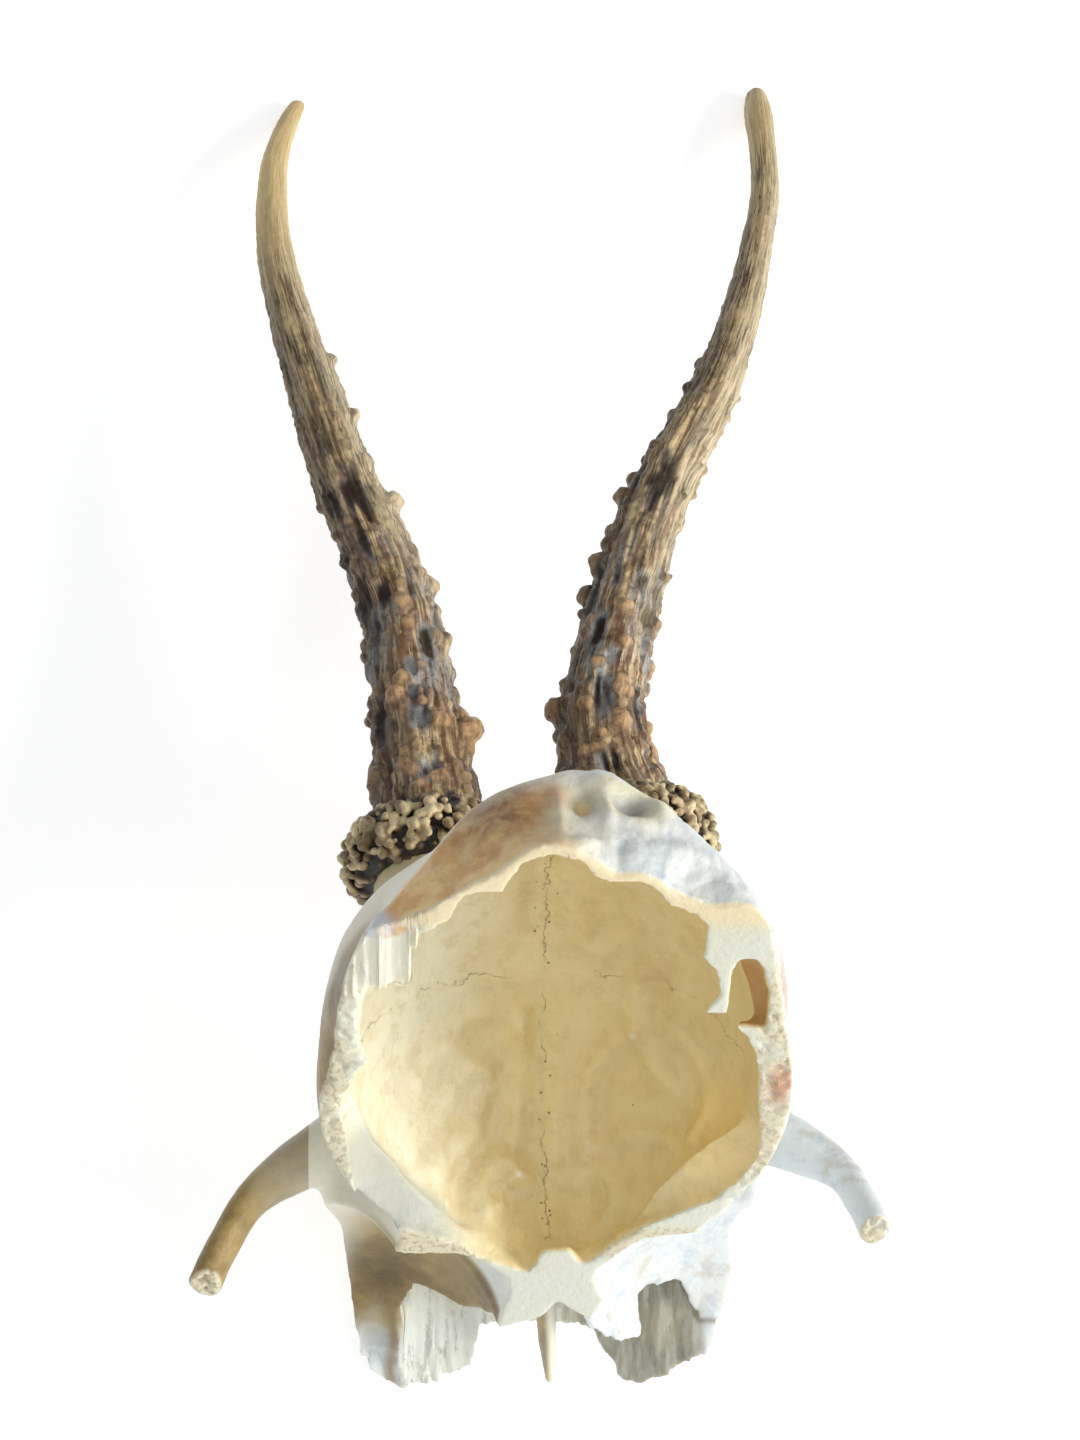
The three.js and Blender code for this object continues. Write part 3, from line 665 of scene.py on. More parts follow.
# %% Folds on the inner face
FOLD_LIFT = 2.1
FOLD_WIDTH = 1.35
FOLDS = [
    (0.55, 1.3, [(13.2, 1.4, 27.9), (12.8, 4.8, 26.7), (12.3, 8.0, 25.3),
                 (8.7, 12.3, 24.4), (6.6, 15.5, 22.9), (6.0, 21.2, 17.2)]),
    (0.4, 1.1, [(13.3, 8.5, 24.4), (14.4, 9.8, 22.6), (15.4, 10.9, 20.7), (17.4, 11.2, 18.0)]),
    (0.45, 1.4, [(17.9, 4.7, 22.8), (20.3, 5.4, 19.1), (22.0, 7.9, 12.0), (19.5, 12.8, 9.5)]),
    (0.4, 1.4, [(3.9, -8.6, 32.1), (5.7, -3.0, 31.8), (8.4, -2.3, 31.0), (12.8, -8.0, 29.6)]),
    (0.4, 1.2, [(4.3, 24.0, 14.0), (5.9, 23.1, 14.7),
                (8.0, 22.7, 13.6), (9.4, 23.2, 9.7), (8.3, 24.2, 7.1)]),
    (0.3, 1.0, [(10.7, 19.4, 16.3), (14.3, 17.1, 14.9), (17.2, 15.3, 11.8)]),
    (0.35, 1.2, [(2.2, 10.9, 26.8), (2.3, 15.9, 23.4), (1.7, 21.0, 18.6), (1.4, 27.0, 7.5)]),
    (0.3, 1.2, [(-2.7, 7.4, 28.6), (-2.6, 12.3, 25.9), (-3.2, 16.7, 22.6), (-3.7, 21.1, 18.0)]),
    (0.35, 1.2, [(-12.5, 8.5, 24.5), (-10.3, 6.9, 26.7),
                 (-7.0, 6.8, 28.1), (-3.8, 8.3, 28.1), (-3.2, 10.8, 26.7)]),
    (0.35, 1.2, [(-16.8, 10.6, 18.5), (-15.7, 9.4, 21.0),
                 (-13.5, 9.4, 23.2), (-10.3, 11.6, 23.8), (-8.1, 13.6, 23.5)]),
    (0.35, 1.1, [(-12.5, 14.7, 19.4), (-11.4, 13.7, 21.4),
                 (-8.6, 13.5, 23.4), (-7.0, 15.2, 22.8), (-7.5, 16.7, 21.2)]),
    (0.6, 1.3, [(-7.7, 24.2, 8.0), (-8.7, 23.1, 10.5),
                (-7.6, 22.5, 13.6), (-4.9, 22.8, 15.2), (-2.7, 24.4, 13.8)]),
    (0.5, 0.8, [(-6.1, 25.0, 9.3), (-6.0, 24.3, 11.6), (-3.8, 24.2, 13.6)]),
    (0.5, 1.5, [(-14.7, 17.9, 9.5), (-12.5, 18.8, 13.8), (-9.2, 19.3, 17.1)]),
    (-0.6, 1.3, [(-6.4, 17.7, 20.7), (-7.0, 20.1, 17.8),
                 (-9.2, 21.3, 13.9), (-10.9, 21.7, 10.0), (-11.0, 22.0, 5.3)]),
    (-0.4, 1.3, [(10.3, 11.4, 24.3), (8.2, 14.7, 22.9), (7.1, 17.3, 21.0), (7.6, 19.4, 18.5)]),
    (-0.6, 1.5, [(-1.0, -24, 27.5), (-1.0, -10.1, 32.1), (-1.3, -5.4, 32.4)]),
    (-0.7, 1.0, [(14.0, 1.3, 27.3), (15.6, 1.2, 26.5)]),
]


def off_line(points, named):
    """How far each point is from the smooth line through a few named points."""
    line = catmull(named, 4 * len(named))
    nearest = np.full(len(points), 1e9)
    for start, end in zip(line, line[1:]):
        along = end - start
        share = np.clip((points - start) @ along / (along @ along), 0, 1)
        nearest = np.minimum(nearest, np.linalg.norm(points - start - share[:, None] * along, axis=1))
    return nearest


def inner_relief(points):
    raised = 0.3 * rough(points, 8, 71, 3) + 0.1 * rough(points, 2.5, 72, 2)
    for height, width, line in FOLDS:
        raised += FOLD_LIFT * height * bump(off_line(points, line), 0, FOLD_WIDTH * width)
    return raised


def fold_shade(points):
    """Where painted shade goes: 1 in the valleys beside the folds and along the grooves, and 0 elsewhere."""
    shade = np.zeros(len(points))
    for height, width, line in FOLDS:
        off = off_line(points, line) / width
        valley = bump(off, 1.9, 0.9) if height > 0 else bump(off, 0, 1.1)
        shade = np.maximum(shade, min(1, 1.8 * abs(height)) * valley)
    return shade


print(len(FOLDS), "folds and grooves")

# %% [markdown]
# Two seams show inside the braincase, where bones grew together: one along the midline and one across. They
# are hair-thin, so they aren't cut into the mesh. These two rules say where the paint draws them.

# %% Sutures
def midline_x(y):
    return 0.25 + 0.16 * np.sin(0.55 * y) + 0.09 * np.sin(1.9 * y + 1)


def coronal_y(x):
    return 2.4 - 0.006 * x * x + 0.3 * np.sin(0.9 * x) + 0.12 * np.sin(2.9 * x + 2)


print("crosswise seam meets the midline at y", round(float(coronal_y(midline_x(0))), 1), "mm")

# %% [markdown]
# The relief differs by place: folds inside, muscle marks on the neck face, rough streaks on the brow's broken
# plates and nothing on the sawn face. Each place is a share from 0 to 1, so the reliefs fade into each other.

# %% Where the relief goes
def inside_share(points):
    """1 on the inner face of the braincase and 0 elsewhere."""
    slack = 1.1 * ramp(3, 6, points[:, 2])
    return 1 - ramp(0.4, 1.1, np.abs(cap.sample(hollow, points)) - slack)


def nape_share(points):
    """1 on the neck face and 0 elsewhere."""
    return (1 - ramp(1.3, 2.4, np.abs(cap.sample(behind_field, points)))) * ramp(-31, -34, points[:, 1])


def sawn_share(points):
    return 1 - ramp(0.15, 0.6, points[:, 2])


def plate_share(points):
    """1 on the broken inner face of the brow's outer plate."""
    px, py, pz = points.T
    depth = sinus_roof(px, py) - pz
    inside = (1 - ramp(18.5, 19.5, -px)) * (1 - ramp(22, 25, px + 0.4 * rough(points, 2, 57)))
    return (1 - ramp(0.5, 1.3, np.abs(depth))) * ramp(43, 46, py) * inside


# The neck muscles left pits and ridges: (height, middle across, middle up, half-width across, half-width up).
NAPE_MARKS = [
    (-2.0, 2.2, 10.4, 1.3, 2.4), (-2.0, 8.3, 11.4, 2.3, 2.0),
    (0.9, 5.2, 9.5, 0.9, 4.0), (0.9, 11.6, 11.0, 1.4, 2.4),
    (-0.6, 13.5, 7.0, 3.0, 1.2), (0.7, 8.5, 7.6, 3.4, 0.9),
    (-0.5, -4.5, 5.0, 2.2, 3.0), (0.6, -9.5, 6.0, 3.5, 1.2),
    (-0.6, 5.0, 4.5, 3.5, 1.3), (0.5, -0.6, 8.0, 0.8, 5.0),
]


def nape_relief(points):
    px, _, pz = points.T
    raised = 0.3 * rough(points, 5, 81) + 0.2 * rough(points, 1.6, 83, 2) * ramp(-2, 6, px)
    for height, across, up, wide, tall in NAPE_MARKS:
        raised += height * bump(px, across, wide) * bump(pz, up, tall)
    return raised


print(len(NAPE_MARKS), "muscle marks on the neck face")

# %% [markdown]
# The relief pushes each point along the surface's normal. A Displace modifier does the same, but it needs a
# texture, and this relief follows the bone's own forms.

# %% Relief on the cap
facing = normals_of(points, quads)
inner = inside_share(points)
nape = nape_share(points) * (1 - inner)
sawn_flat = sawn_share(points)
plate_face = plate_share(points)
amount = 0.10 * rough(points, 7, 1) + 0.03 * lumps(points, 1.3, 5)
amount = mix(amount, inner_relief(points), inner * ramp(1.5, 4, points[:, 2]))
amount += nape * nape_relief(points)
streaks = lumps(points, (0.9, 9, 4), 91) + 0.7 * lumps(points, (0.5, 6, 3), 92)
amount += 0.34 * streaks * plate_face
ridge = 0.9 * bump(points[:, 0], -18.5, 1.0)
scoop = 1.5 * patch(points[:, 0], points[:, 1], (-22.6, 60), (2.8, 4.5))
amount += (ridge - scoop) * ramp(52, 56, points[:, 1])
points = points + facing * (amount * (1 - sawn_flat))[:, None]
print("relief reaches", round(float(np.abs(amount).max()), 2), "mm")

# %% [markdown]
# The saw opened the spongy bone at both sides and left grooves on the left shelf. Both are sunk into the cut
# face, which is otherwise flat.

# %% Relief on the cut face
shelf = (1 - ramp(-17, -16, points[:, 0])) * ramp(-38, -34, points[:, 1])
shelf = shelf * (1 - ramp(-24.5, -23, points[:, 1]))
grooves = np.abs(lumps(points, (0.75, 14, 5), 93)) + 0.5 * np.abs(lumps(points, (0.5, 8, 5), 94))
sponge = ramp(22, 25, np.abs(points[:, 0])) * ramp(-24, -20, points[:, 1])
pits = np.clip(lumps(points, 0.8, 95) + 0.5 * lumps(points, 0.45, 96), 0, 1)
sunk = sawn_flat * (0.85 * grooves * shelf + 0.55 * sponge * pits)
points[:, 2] = np.maximum(points[:, 2], 0) + np.clip(sunk, 0, 0.9)
whole_cap = new_object("whole_cap", mesh_of("whole_cap", points, quads))
print("the cut face sinks by up to", round(float(np.clip(sunk, 0, 0.9).max()), 2), "mm")

# %% [markdown]
# ## Sawing the cap into bones
# A skull is many bones that grew together. The cap is sawn along simple planes, one bone after another, so
# the surface runs on from bone to bone without a step.

# %% Separate bones
CORONAL_Y = 4
LAMBDOID_Y = -40
SQUAMOUS_Z = 15
TEMPLE_Y = 13
BLOCK = dict(half_width=8.5, start_y=23, top=12)
FAR = 90

CUTS = [
    ("occipital", (-FAR, -FAR, -FAR), (FAR, LAMBDOID_Y, FAR)),
    ("ethmoid_block", (-BLOCK["half_width"], BLOCK["start_y"], -FAR),
                              (BLOCK["half_width"], FAR, BLOCK["top"])),
    ("orbital_bar_left", (-FAR, BAR_CUT_Y, -FAR), (-BAR_CUT_X, FAR, FAR)),
    ("orbital_bar_right", (BAR_CUT_X, BAR_CUT_Y, -FAR), (FAR, FAR, FAR)),
    ("parietal_left", (-FAR, -FAR, SQUAMOUS_Z), (0, CORONAL_Y, FAR)),
    ("parietal_right", (0, -FAR, SQUAMOUS_Z), (FAR, CORONAL_Y, FAR)),
    ("temporal_left", (-FAR, -FAR, -FAR), (0, TEMPLE_Y, SQUAMOUS_Z)),
    ("temporal_right", (0, -FAR, -FAR), (FAR, TEMPLE_Y, SQUAMOUS_Z)),
    ("frontal_left", (-FAR, -FAR, -FAR), (0, FAR, FAR)),
    ("frontal_right", (0, -FAR, -FAR), (FAR, FAR, FAR)),
]

cap_pieces = {}
rest = whole_cap
for name, low, high in CUTS:
    cutter = box(low, high)
    cap_pieces[name] = sawn(rest, cutter, "INTERSECT", name)
    left_over = sawn(rest, cutter, "DIFFERENCE", "rest")
    remove(rest, cutter)
    rest = left_over
remove(rest)
for name, made in cap_pieces.items():
    print(name, len(made.data.polygons), "faces")

# %% [markdown]
# A thin splinter of bone stands out from the block between the eye sockets. It is one more strap, round and
# tapering.

# %% Nasal spine
SPINE = dict(root=(0.8, 41.6, 13.2), tip=(2.3, 64, 11.2), root_radius=1.9, tip_radius=0.7, lean=0.065)

spine_grid = Grid((-4, 37, 7), (7, 67, 18), 0.3)
spine_line = catmull([SPINE["root"], SPINE["tip"]], 60)
spine_radii = mix(SPINE["root_radius"], SPINE["tip_radius"], np.linspace(0, 1, 60) ** 3)
spine_field = strap(spine_grid, spine_line, spine_radii, (0, 0, 1), 0.78)
spine_points, spine_quads = skin(spine_grid, spine_field)
spine_points = relaxed(spine_points, spine_quads, 2)
spine_facing = normals_of(spine_points, spine_quads)
spine_points += spine_facing * (0.15 * rough(spine_points, (1.2, 6, 1.2), 3))[:, None]
cap_pieces["nasal_spine"] = new_object("nasal_spine", mesh_of("nasal_spine", spine_points, spine_quads))
print("nasal spine of", len(spine_quads), "faces")

# %% [markdown]
# ## Antlers
# Each antler has one beam without tines. Its centre line rises and spreads, and its radius shrinks to the
# tip. A curve with a taper could make the beam, but its pearls and flutes need the surface as a form.

# %% Antler lines
PEDICLE = dict(x=14.8, y=13.5, z=29, radius=8.6, waist=7.6)
BURR = dict(height=7.2, core=7.5, power=2.6, swell=4.2, disc=9, pearls=850)
BEAM = dict(base=7.1, tip=1.2, taper=0.74, flare=1.5, flare_length=0.03, bow=3.5)
ANTLERS = {
    -1: dict(base=14, burr_y=7.2, burr_z=58.5, tip_z=215.5, spread=25.7, start=0.05, end=0.84),
    1: dict(base=14.3, burr_y=6.8, burr_z=61, tip_z=217.6, spread=29.6, start=0.18, end=0.85),
}
ANTLERS[-1].update(hook=193, dip=-1.5, tip_lift=0.2)
ANTLERS[1].update(hook=0, dip=3.7, tip_lift=0.9)
BEAM_LENGTH = 166
BENDS = {-1: [(1.1, 0.43, 0.1)], 1: [(1.0, 0.52, 0.08), (-1.3, 0.75, 0.09)]}  # outwards, share, reach
SLIM = {-1: 0.4, 1: 0.8}


def antler_line(side, share):
    form = ANTLERS[side]
    up = mix(form["burr_z"], form["tip_z"], share)
    hooked = form["hook"] * np.maximum(0, share - 0.86) ** 2
    dipped = form["dip"] * bump(share, 0.12, 0.1)
    out = form["base"] + form["spread"] * ramp(form["start"], form["end"], share) - hooked - dipped
    for amount, middle, reach in BENDS[side]:
        out = out + amount * bump(share, middle, reach)
    floor_y = LOBE_TOUCH["y"] - math.tan(LEAN) * (form["tip_z"] - LOBE_TOUCH["z"])
    rest_y = floor_y - BEAM["tip"] - form["tip_lift"]
    forward = mix(form["burr_y"], rest_y, share) - BEAM["bow"] * np.sin(math.pi * share)
    return np.stack([side * out, forward, up], -1)


def beam_radius(side, share):
    body = BEAM["tip"] + (BEAM["base"] - BEAM["tip"]) * np.maximum(0, 1 - share) ** BEAM["taper"]
    body = body - SLIM[side] * ramp(0.02, 0.15, share) * (1 - ramp(0.7, 0.95, share))
    body = body + (0.7 * bump(share, 0.97, 0.05) if side > 0 else 0)
    return body + BEAM["flare"] * np.exp(-share / BEAM["flare_length"])


def antler_frame(side, share):
    """Where the centre line is, and the directions along it, inwards and towards the nape."""
    at = antler_line(side, share)
    along = antler_line(side, share + 0.002) - antler_line(side, share - 0.002)
    along /= np.linalg.norm(along, axis=-1, keepdims=True)
    inward = np.zeros_like(at)
    inward[..., 0] = -side
    inward -= along * (along * inward).sum(-1, keepdims=True)
    inward /= np.linalg.norm(inward, axis=-1, keepdims=True)
    nape = np.cross(along, inward) * side
    return at, along, inward, nape


print("antler tips", round(float(antler_line(1, 1.0)[0] - antler_line(-1, 1.0)[0]), 1), "mm apart")

# %% [markdown]
# Pearls are the small knobs of an antler. The inner ones stand out most and are listed as (share of the
# length, size in millimetres, how far they stand out). The others are scattered over the two faces.

# %% Pearl rows
SCATTERED_PEARLS = 230
INNER_PEARLS = {
    -1: [(0.58, 1.2, 0.8), (0.55, 0.8, 0.3), (0.504, 1.4, 0.9),
         (0.47, 0.8, 0.2), (0.445, 1.1, 0.5), (0.396, 1.5, 0.6),
         (0.388, 1.5, 1.5), (0.345, 1.0, 0.2), (0.29, 1.6, 1.1),
         (0.26, 1.0, 0.3), (0.226, 1.5, 0.8), (0.195, 1.1, 0.3),
         (0.17, 1.4, 0.6), (0.142, 1.7, 1.0), (0.124, 2.3, 2.6), (0.10, 1.7, 1.0), (0.075, 1.3, 0.5)],
    1: [(0.566, 1.2, 0.6), (0.522, 1.2, 0.6), (0.49, 1.2, 0.7),
        (0.46, 0.9, 0.3), (0.43, 1.2, 0.5), (0.405, 1.5, 1.2),
        (0.379, 1.6, 1.4), (0.345, 1.4, 1.0), (0.32, 1.2, 0.6),
        (0.30, 1.6, 1.5), (0.27, 1.9, 1.9), (0.24, 1.2, 0.4),
        (0.205, 1.2, 0.4), (0.167, 1.5, 0.8), (0.139, 2.2, 2.0), (0.115, 1.4, 0.8), (0.08, 1.4, 0.5)],
}


def antler_pearls(side):
    """The pearls' middles and sizes."""
    picker = np.random.default_rng(11 + side)
    listed = []
    for share, size, stand in INNER_PEARLS[side]:
        listed.append((share, picker.uniform(-0.25, 0.35), size, stand))
    for _ in range(SCATTERED_PEARLS):
        share = 0.045 + 0.5 * picker.random() ** 1.3
        angle = picker.choice([0.75, 1.35, 2.0, 2.7, -0.8, -1.6, -2.4, 3.1]) + picker.normal(0, 0.2)
        size = mix(1.3, 0.6, ramp(0.05, 0.55, share)) * picker.uniform(0.6, 1.2)
        listed.append((share, angle, size, size * picker.uniform(0.3, 0.9)))
    made = []
    for share, angle, size, stand in listed:
        at, along, inward, nape = antler_frame(side, np.float64(share))
        out = inward * math.cos(angle) + nape * math.sin(angle)
        level = beam_radius(side, share) + stand
        made.append((at + out * (level - 0.5 * size), size * 0.9))
        made.append((at + out * (level - 1.4 * size) - along * 0.8 * size, size * 1.15))
        made.append((at + out * (level - 1.5 * size) + along * 1.1 * size, size * 0.8))
    return made


def beam_place(side, points):
    """For each point, its share of the centre line, the angle round it and the distance from it."""
    form = ANTLERS[side]
    share = (points[:, 2] - form["burr_z"]) / (form["tip_z"] - form["burr_z"])
    for _ in range(3):
        at, along, inward, nape = antler_frame(side, share)
        share = share + ((points - at) * along).sum(1) / BEAM_LENGTH
    at, along, inward, nape = antler_frame(side, share)
    offset = points - at
    angle = np.arctan2((offset * nape).sum(1), (offset * inward).sum(1))
    return share, angle, np.linalg.norm(offset - along * (offset * along).sum(1, keepdims=True), axis=1)


print("pearls beside the listed ones:", SCATTERED_PEARLS, "on each beam")

# %% [markdown]
# The beam's form is the distance to its centre line less its radius, with low flutes round it. The pearls
# melt onto it one by one.

# %% Beam fields
def beam_field(grid, side):
    form = ANTLERS[side]
    share = (grid.z - form["burr_z"]) / (form["tip_z"] - form["burr_z"])
    line, along, _, _ = antler_frame(side, share.ravel())
    shape = (1, 1, -1)
    dx = grid.x - line[:, 0].reshape(shape).astype(np.float32)
    dy = grid.y - line[:, 1].reshape(shape).astype(np.float32)
    tx, ty = (along[:, i].reshape(shape).astype(np.float32) for i in (0, 1))
    slide = dx * tx + dy * ty
    reach = np.sqrt(np.maximum(dx * dx + dy * dy - slide * slide, 0))
    true_share = share + slide / BEAM_LENGTH
    angle = np.arctan2(dy, -side * dx)
    flutes = 0.05 * np.cos(7 * angle + 5 * true_share) + 0.03 * np.cos(11 * angle - 9 * true_share + 1)
    radius = beam_radius(side, np.clip(true_share, 0, 1)) * (1 + flutes * np.clip(1.1 - true_share, 0, 1))
    field = reach - radius
    tip = antler_line(side, np.float64(1.0))
    return np.maximum(field, grid.z - tip[2] - 0.2)


def grown_antler(side):
    form = ANTLERS[side]
    foot = antler_line(side, np.float64(0))
    line = antler_line(side, np.linspace(0, 1, 60))
    low = line.min(0) - 10.5
    high = line.max(0) + 10.5
    low[2], high[2] = foot[2] + 1.5, form["tip_z"] + 1.5
    grid = Grid(low, high, 0.32)
    field = beam_field(grid, side)
    for centre, size in antler_pearls(side):
        add_ball(grid, field, centre, size, 0.4)
    field = np.maximum(field, foot[2] + 3.9 - grid.z)
    made, faces = skin(grid, field)
    return relaxed(made, faces, 1), faces


print("beam radius at mid length:", round(float(beam_radius(-1, 0.5)), 1), "mm")

# %% [markdown]
# Blood vessels left long furrows on the beams. They are noise, stretched along the beam: the beam is unrolled
# first, so the furrows follow its bends.

# %% Furrows on the beams
def around(side, share, angle):
    """A place on the beam, unrolled so that noise can be stretched along it."""
    return np.stack([np.cos(angle) * 7, np.sin(angle) * 7, share * BEAM_LENGTH], 1)


def furrow_depth(ring):
    """1 on the ridges and -1 in the furrows between them."""
    broad = 1 - 2.4 * np.abs(lumps(ring, (3.2, 3.2, 11), 3))
    narrow = 1 - 2.4 * np.abs(lumps(ring, (1.3, 1.3, 5), 4))
    return 0.55 * broad + 0.45 * narrow


def furrowed(side, points, quads):
    """Long uneven furrows that run up between the pearls, and fine grain."""
    share, angle, reach = beam_place(side, points)
    facing = normals_of(points, quads)
    ring = around(side, share, angle)
    fine = lumps(ring, (0.7, 0.7, 9), 6)
    grain = rough(points, 1.1, 9, 2)
    body = beam_radius(side, share)
    depth = mix(0.62, 0.15, ramp(0.1, 0.75, share))
    proud = ramp(0.2, 1.2, reach - body)
    amount = depth * furrow_depth(ring) * (1 - 0.75 * proud) + 0.3 * depth * fine
    amount += mix(0.16, 0.24, proud) * grain * (1 - ramp(0.6, 0.95, share))
    amount += 0.4 * lumps(ring, (2.2, 2.2, 3), 7) * (1 - ramp(0.2, 0.6, share))
    return points + facing * amount[:, None]


antlers = {}
for side, name in ((-1, "left"), (1, "right")):
    made, faces = grown_antler(side)
    made = furrowed(side, made, faces)
    antlers[side] = new_object(f"antler_{name}", mesh_of(f"antler_{name}", made, faces))
    print(f"antler_{name}:", len(faces), "faces")

# %% [markdown]
# The burr is the ring at the antler's foot, packed with pearls over dark pits. A torus with a noisy surface
# would have no pits, so the pearls are real balls on a ring with a thick round edge.

# %% Burrs
GOLDEN_TURN = 2.399963  # each pearl sits this much further round the ring than the last


def burr_swell(out, high):
    """Below zero inside the burr's thick round edge."""
    power = BURR["power"]
    return (np.maximum(out - BURR["core"], 0) ** power + np.abs(high) ** power) ** (1 / power) - BURR["swell"]


def burr_pearls(side):
    """The pearls' middles and sizes, packed evenly over the thick edge."""
    at, along, inward, nape = antler_frame(side, np.float64(0))
    picker = np.random.default_rng(5 + side)
    made = []
    for i in range(BURR["pearls"]):
        angle = i * GOLDEN_TURN + picker.normal(0, 0.12)
        height = mix(-0.97, 0.97, (i + 0.5) / BURR["pearls"]) + picker.normal(0, 0.03)
        bulge = max(0, 1 - abs(height) ** BURR["power"]) ** (1 / BURR["power"])
        size = picker.uniform(0.35, 0.85)
        ring = BURR["core"] + 4.7 * bulge + picker.uniform(-0.6, 0.7)
        centre = at + along * (height * BURR["swell"])
        made.append((centre + (inward * math.cos(angle) + nape * math.sin(angle)) * ring, size))
    return made


def burr_piece(side, name):
    at, along, _, _ = antler_frame(side, np.float64(0))
    grid = Grid(at - 17, at + 17, 0.27)
    dx, dy, dz = grid.x - at[0], grid.y - at[1], grid.z - at[2]
    high = dx * along[0] + dy * along[1] + dz * along[2]
    out = np.sqrt(np.maximum(dx * dx + dy * dy + dz * dz - high * high, 0))
    disc = np.maximum(out - BURR["disc"], np.abs(high) - BURR["height"] / 2)
    field = soft_min(burr_swell(out, high), disc, 1.0)
    for centre, size in burr_pearls(side):
        add_ball(grid, field, centre, size, 0.2)
    field = np.maximum(field, np.abs(high) - 4.7)
    made, faces = skin(grid, field)
    made = relaxed(made, faces, 1)
    made += normals_of(made, faces) * (0.16 * rough(made, 1.3, 21, 2))[:, None]
    return new_object(name, mesh_of(name, made, faces))


print("pearls on each burr:", BURR["pearls"])

# %% [markdown]
# The pedicle is the stalk of bone that carries the burr. It is skin-covered in life and plain on the skull. A
# cylinder would meet the skull in a hard ring, so it is a strap of round sections that flares at its root and
# is cut away where the skull's own surface begins.

# %% Pedicles
ROOT_FLARE = 2.2
ROOT_FLARE_LENGTH = 0.16  # as a share of the pedicle


def pedicle_piece(side, name):
    at, along, _, _ = antler_frame(side, np.float64(0))
    top = at - along * (BURR["height"] / 2 + 0.3)
    root = np.array([side * PEDICLE["x"], PEDICLE["y"], PEDICLE["z"]])
    line = catmull([root, top - along * 4, top], 40)
    way = np.linspace(0, 1, 40)
    radii = mix(PEDICLE["radius"], PEDICLE["waist"], np.sin(math.pi * way) ** 2)
    radii = radii + ROOT_FLARE * np.exp(-way / ROOT_FLARE_LENGTH)
    grid = Grid(line.min(0) - 11, line.max(0) + 11, 0.35)
    field = strap(grid, line, radii, (1, 0, 0), 1.0)
    dx, dy, dz = grid.x - top[0], grid.y - top[1], grid.z - top[2]
    field = np.maximum(field, dx * along[0] + dy * along[1] + dz * along[2])
    under_brow = np.maximum(brow_height(grid.x, grid.y), 0) + 0.3 - grid.z
    under_case = 0.3 - grid.true_distance(vault(CASE, grid.x, grid.y, grid.z))
    field = np.maximum(np.maximum(field, under_brow), under_case)
    made, faces = skin(grid, field)
    made = relaxed(made, faces, 1)
    made += normals_of(made, faces) * (0.12 * rough(made, 3, 31, 3))[:, None]
    return new_object(name, mesh_of(name, made, faces))


others = {}
for side, name in ((-1, "left"), (1, "right")):
    others[f"burr_{name}"] = burr_piece(side, f"burr_{name}")
    others[f"pedicle_{name}"] = pedicle_piece(side, f"pedicle_{name}")
for name, made in others.items():
    print(name, len(made.data.polygons), "faces")

# %% [markdown]
# ## Paint masks
# Old bone is stained by earth, worn by weather and yellowed inside. A picture could be wrapped round it, but
# these stains follow the forms, so each is worked out at every point of the mesh as a number from 0 to 1.
# The materials mix their colours by these masks, and some of the masks are painted light and shade.

# %% Mask tools
def store(made, **layers):
    for name, values in layers.items():
        layer = made.data.attributes.new(name, "FLOAT", "POINT")
        layer.data.foreach_set("value", np.asarray(values, np.float32))


def store_place(made, places):
    """Stores a place in millimetres at every point, for the materials' grain to follow."""
    layer = made.data.attributes.new("place", "FLOAT_VECTOR", "POINT")
    layer.data.foreach_set("vector", np.asarray(places, np.float32).ravel())


def spot(points, centre, radii, soft=0.6):
    """1 inside an egg-shaped spot and 0 outside it, with a soft edge."""
    away = np.linalg.norm((points - np.array(centre)) / np.array(radii), axis=1)
    return 1 - ramp(1 - soft, 1 + soft, away)


def cloud(at, size, seed):
    """Uneven patches, from 0 to 1."""
    return 0.5 + 0.5 * rough(at, size, seed)


def wavy_x(at):
    return at[:, 0] + 2.2 * rough(at, 6, 45)


print("patches at the origin:", round(float(cloud(np.zeros((1, 3)), 8, 41)[0]), 2))

# %% [markdown]
# The neck face is where the neck muscles held on. It is stained brown on its left half, has two dark pits and
# a pale crust round the right one. One noise texture couldn't place these, so each is a soft oval patch
# whose edge is made wavy.

# %% Neck face masks
def neck_masks(at, outside, sawn_face):
    px, py, pz = at.T
    nape = nape_share(at) * outside
    wavy = wavy_x(at)
    up = pz + 1.2 * rough(at, 5, 46)
    crest = ramp(11.5, 14.5, up + 0.3 * np.abs(px))
    band = 0.76 * (wavy + 13) - 0.65 * (up - 9)
    streak = 0.9 * patch(wavy, up, (-3.9, 9), (1.7, 3.6)) + 0.8 * bump(band, -0.3, 1.5)
    pits = np.maximum(patch(px, up, (2.2, 10.4), (1.4, 2.7)), patch(px, up, (8.3, 11.2), (2.3, 2.4)))
    return dict(
        stain=nape * (1 - ramp(-5, 2, wavy)) * ramp(-4.6, -1.5, band) * (1 - 0.85 * crest),
        brown=nape * patch(wavy, up, (-7.0, 8.6), (5.4, 6.0)),
        streak=nape * streak,
        pit=nape * pits,
        crust=nape * patch(px, up, (8, 12.2), (4.2, 3.6), 0.95, 0.4),
        nape_rim=sawn_face * ramp(-34, -37, py),
    )


print("the neck face has 6 masks")

# %% [markdown]
# Inside, the bone is cream on the left and golden on the right, with amber where it is thin and light shines
# through. The ledge at the left front is greyer, and painted shade darkens the valleys beside the folds.

# %% Inner face masks
def golden_share(at, inner):
    return inner * np.clip(ramp(-20, 1, at[:, 0] + 0.1 * at[:, 1]) + 0.3 * (cloud(at, 8, 41) - 0.5), 0, 1)


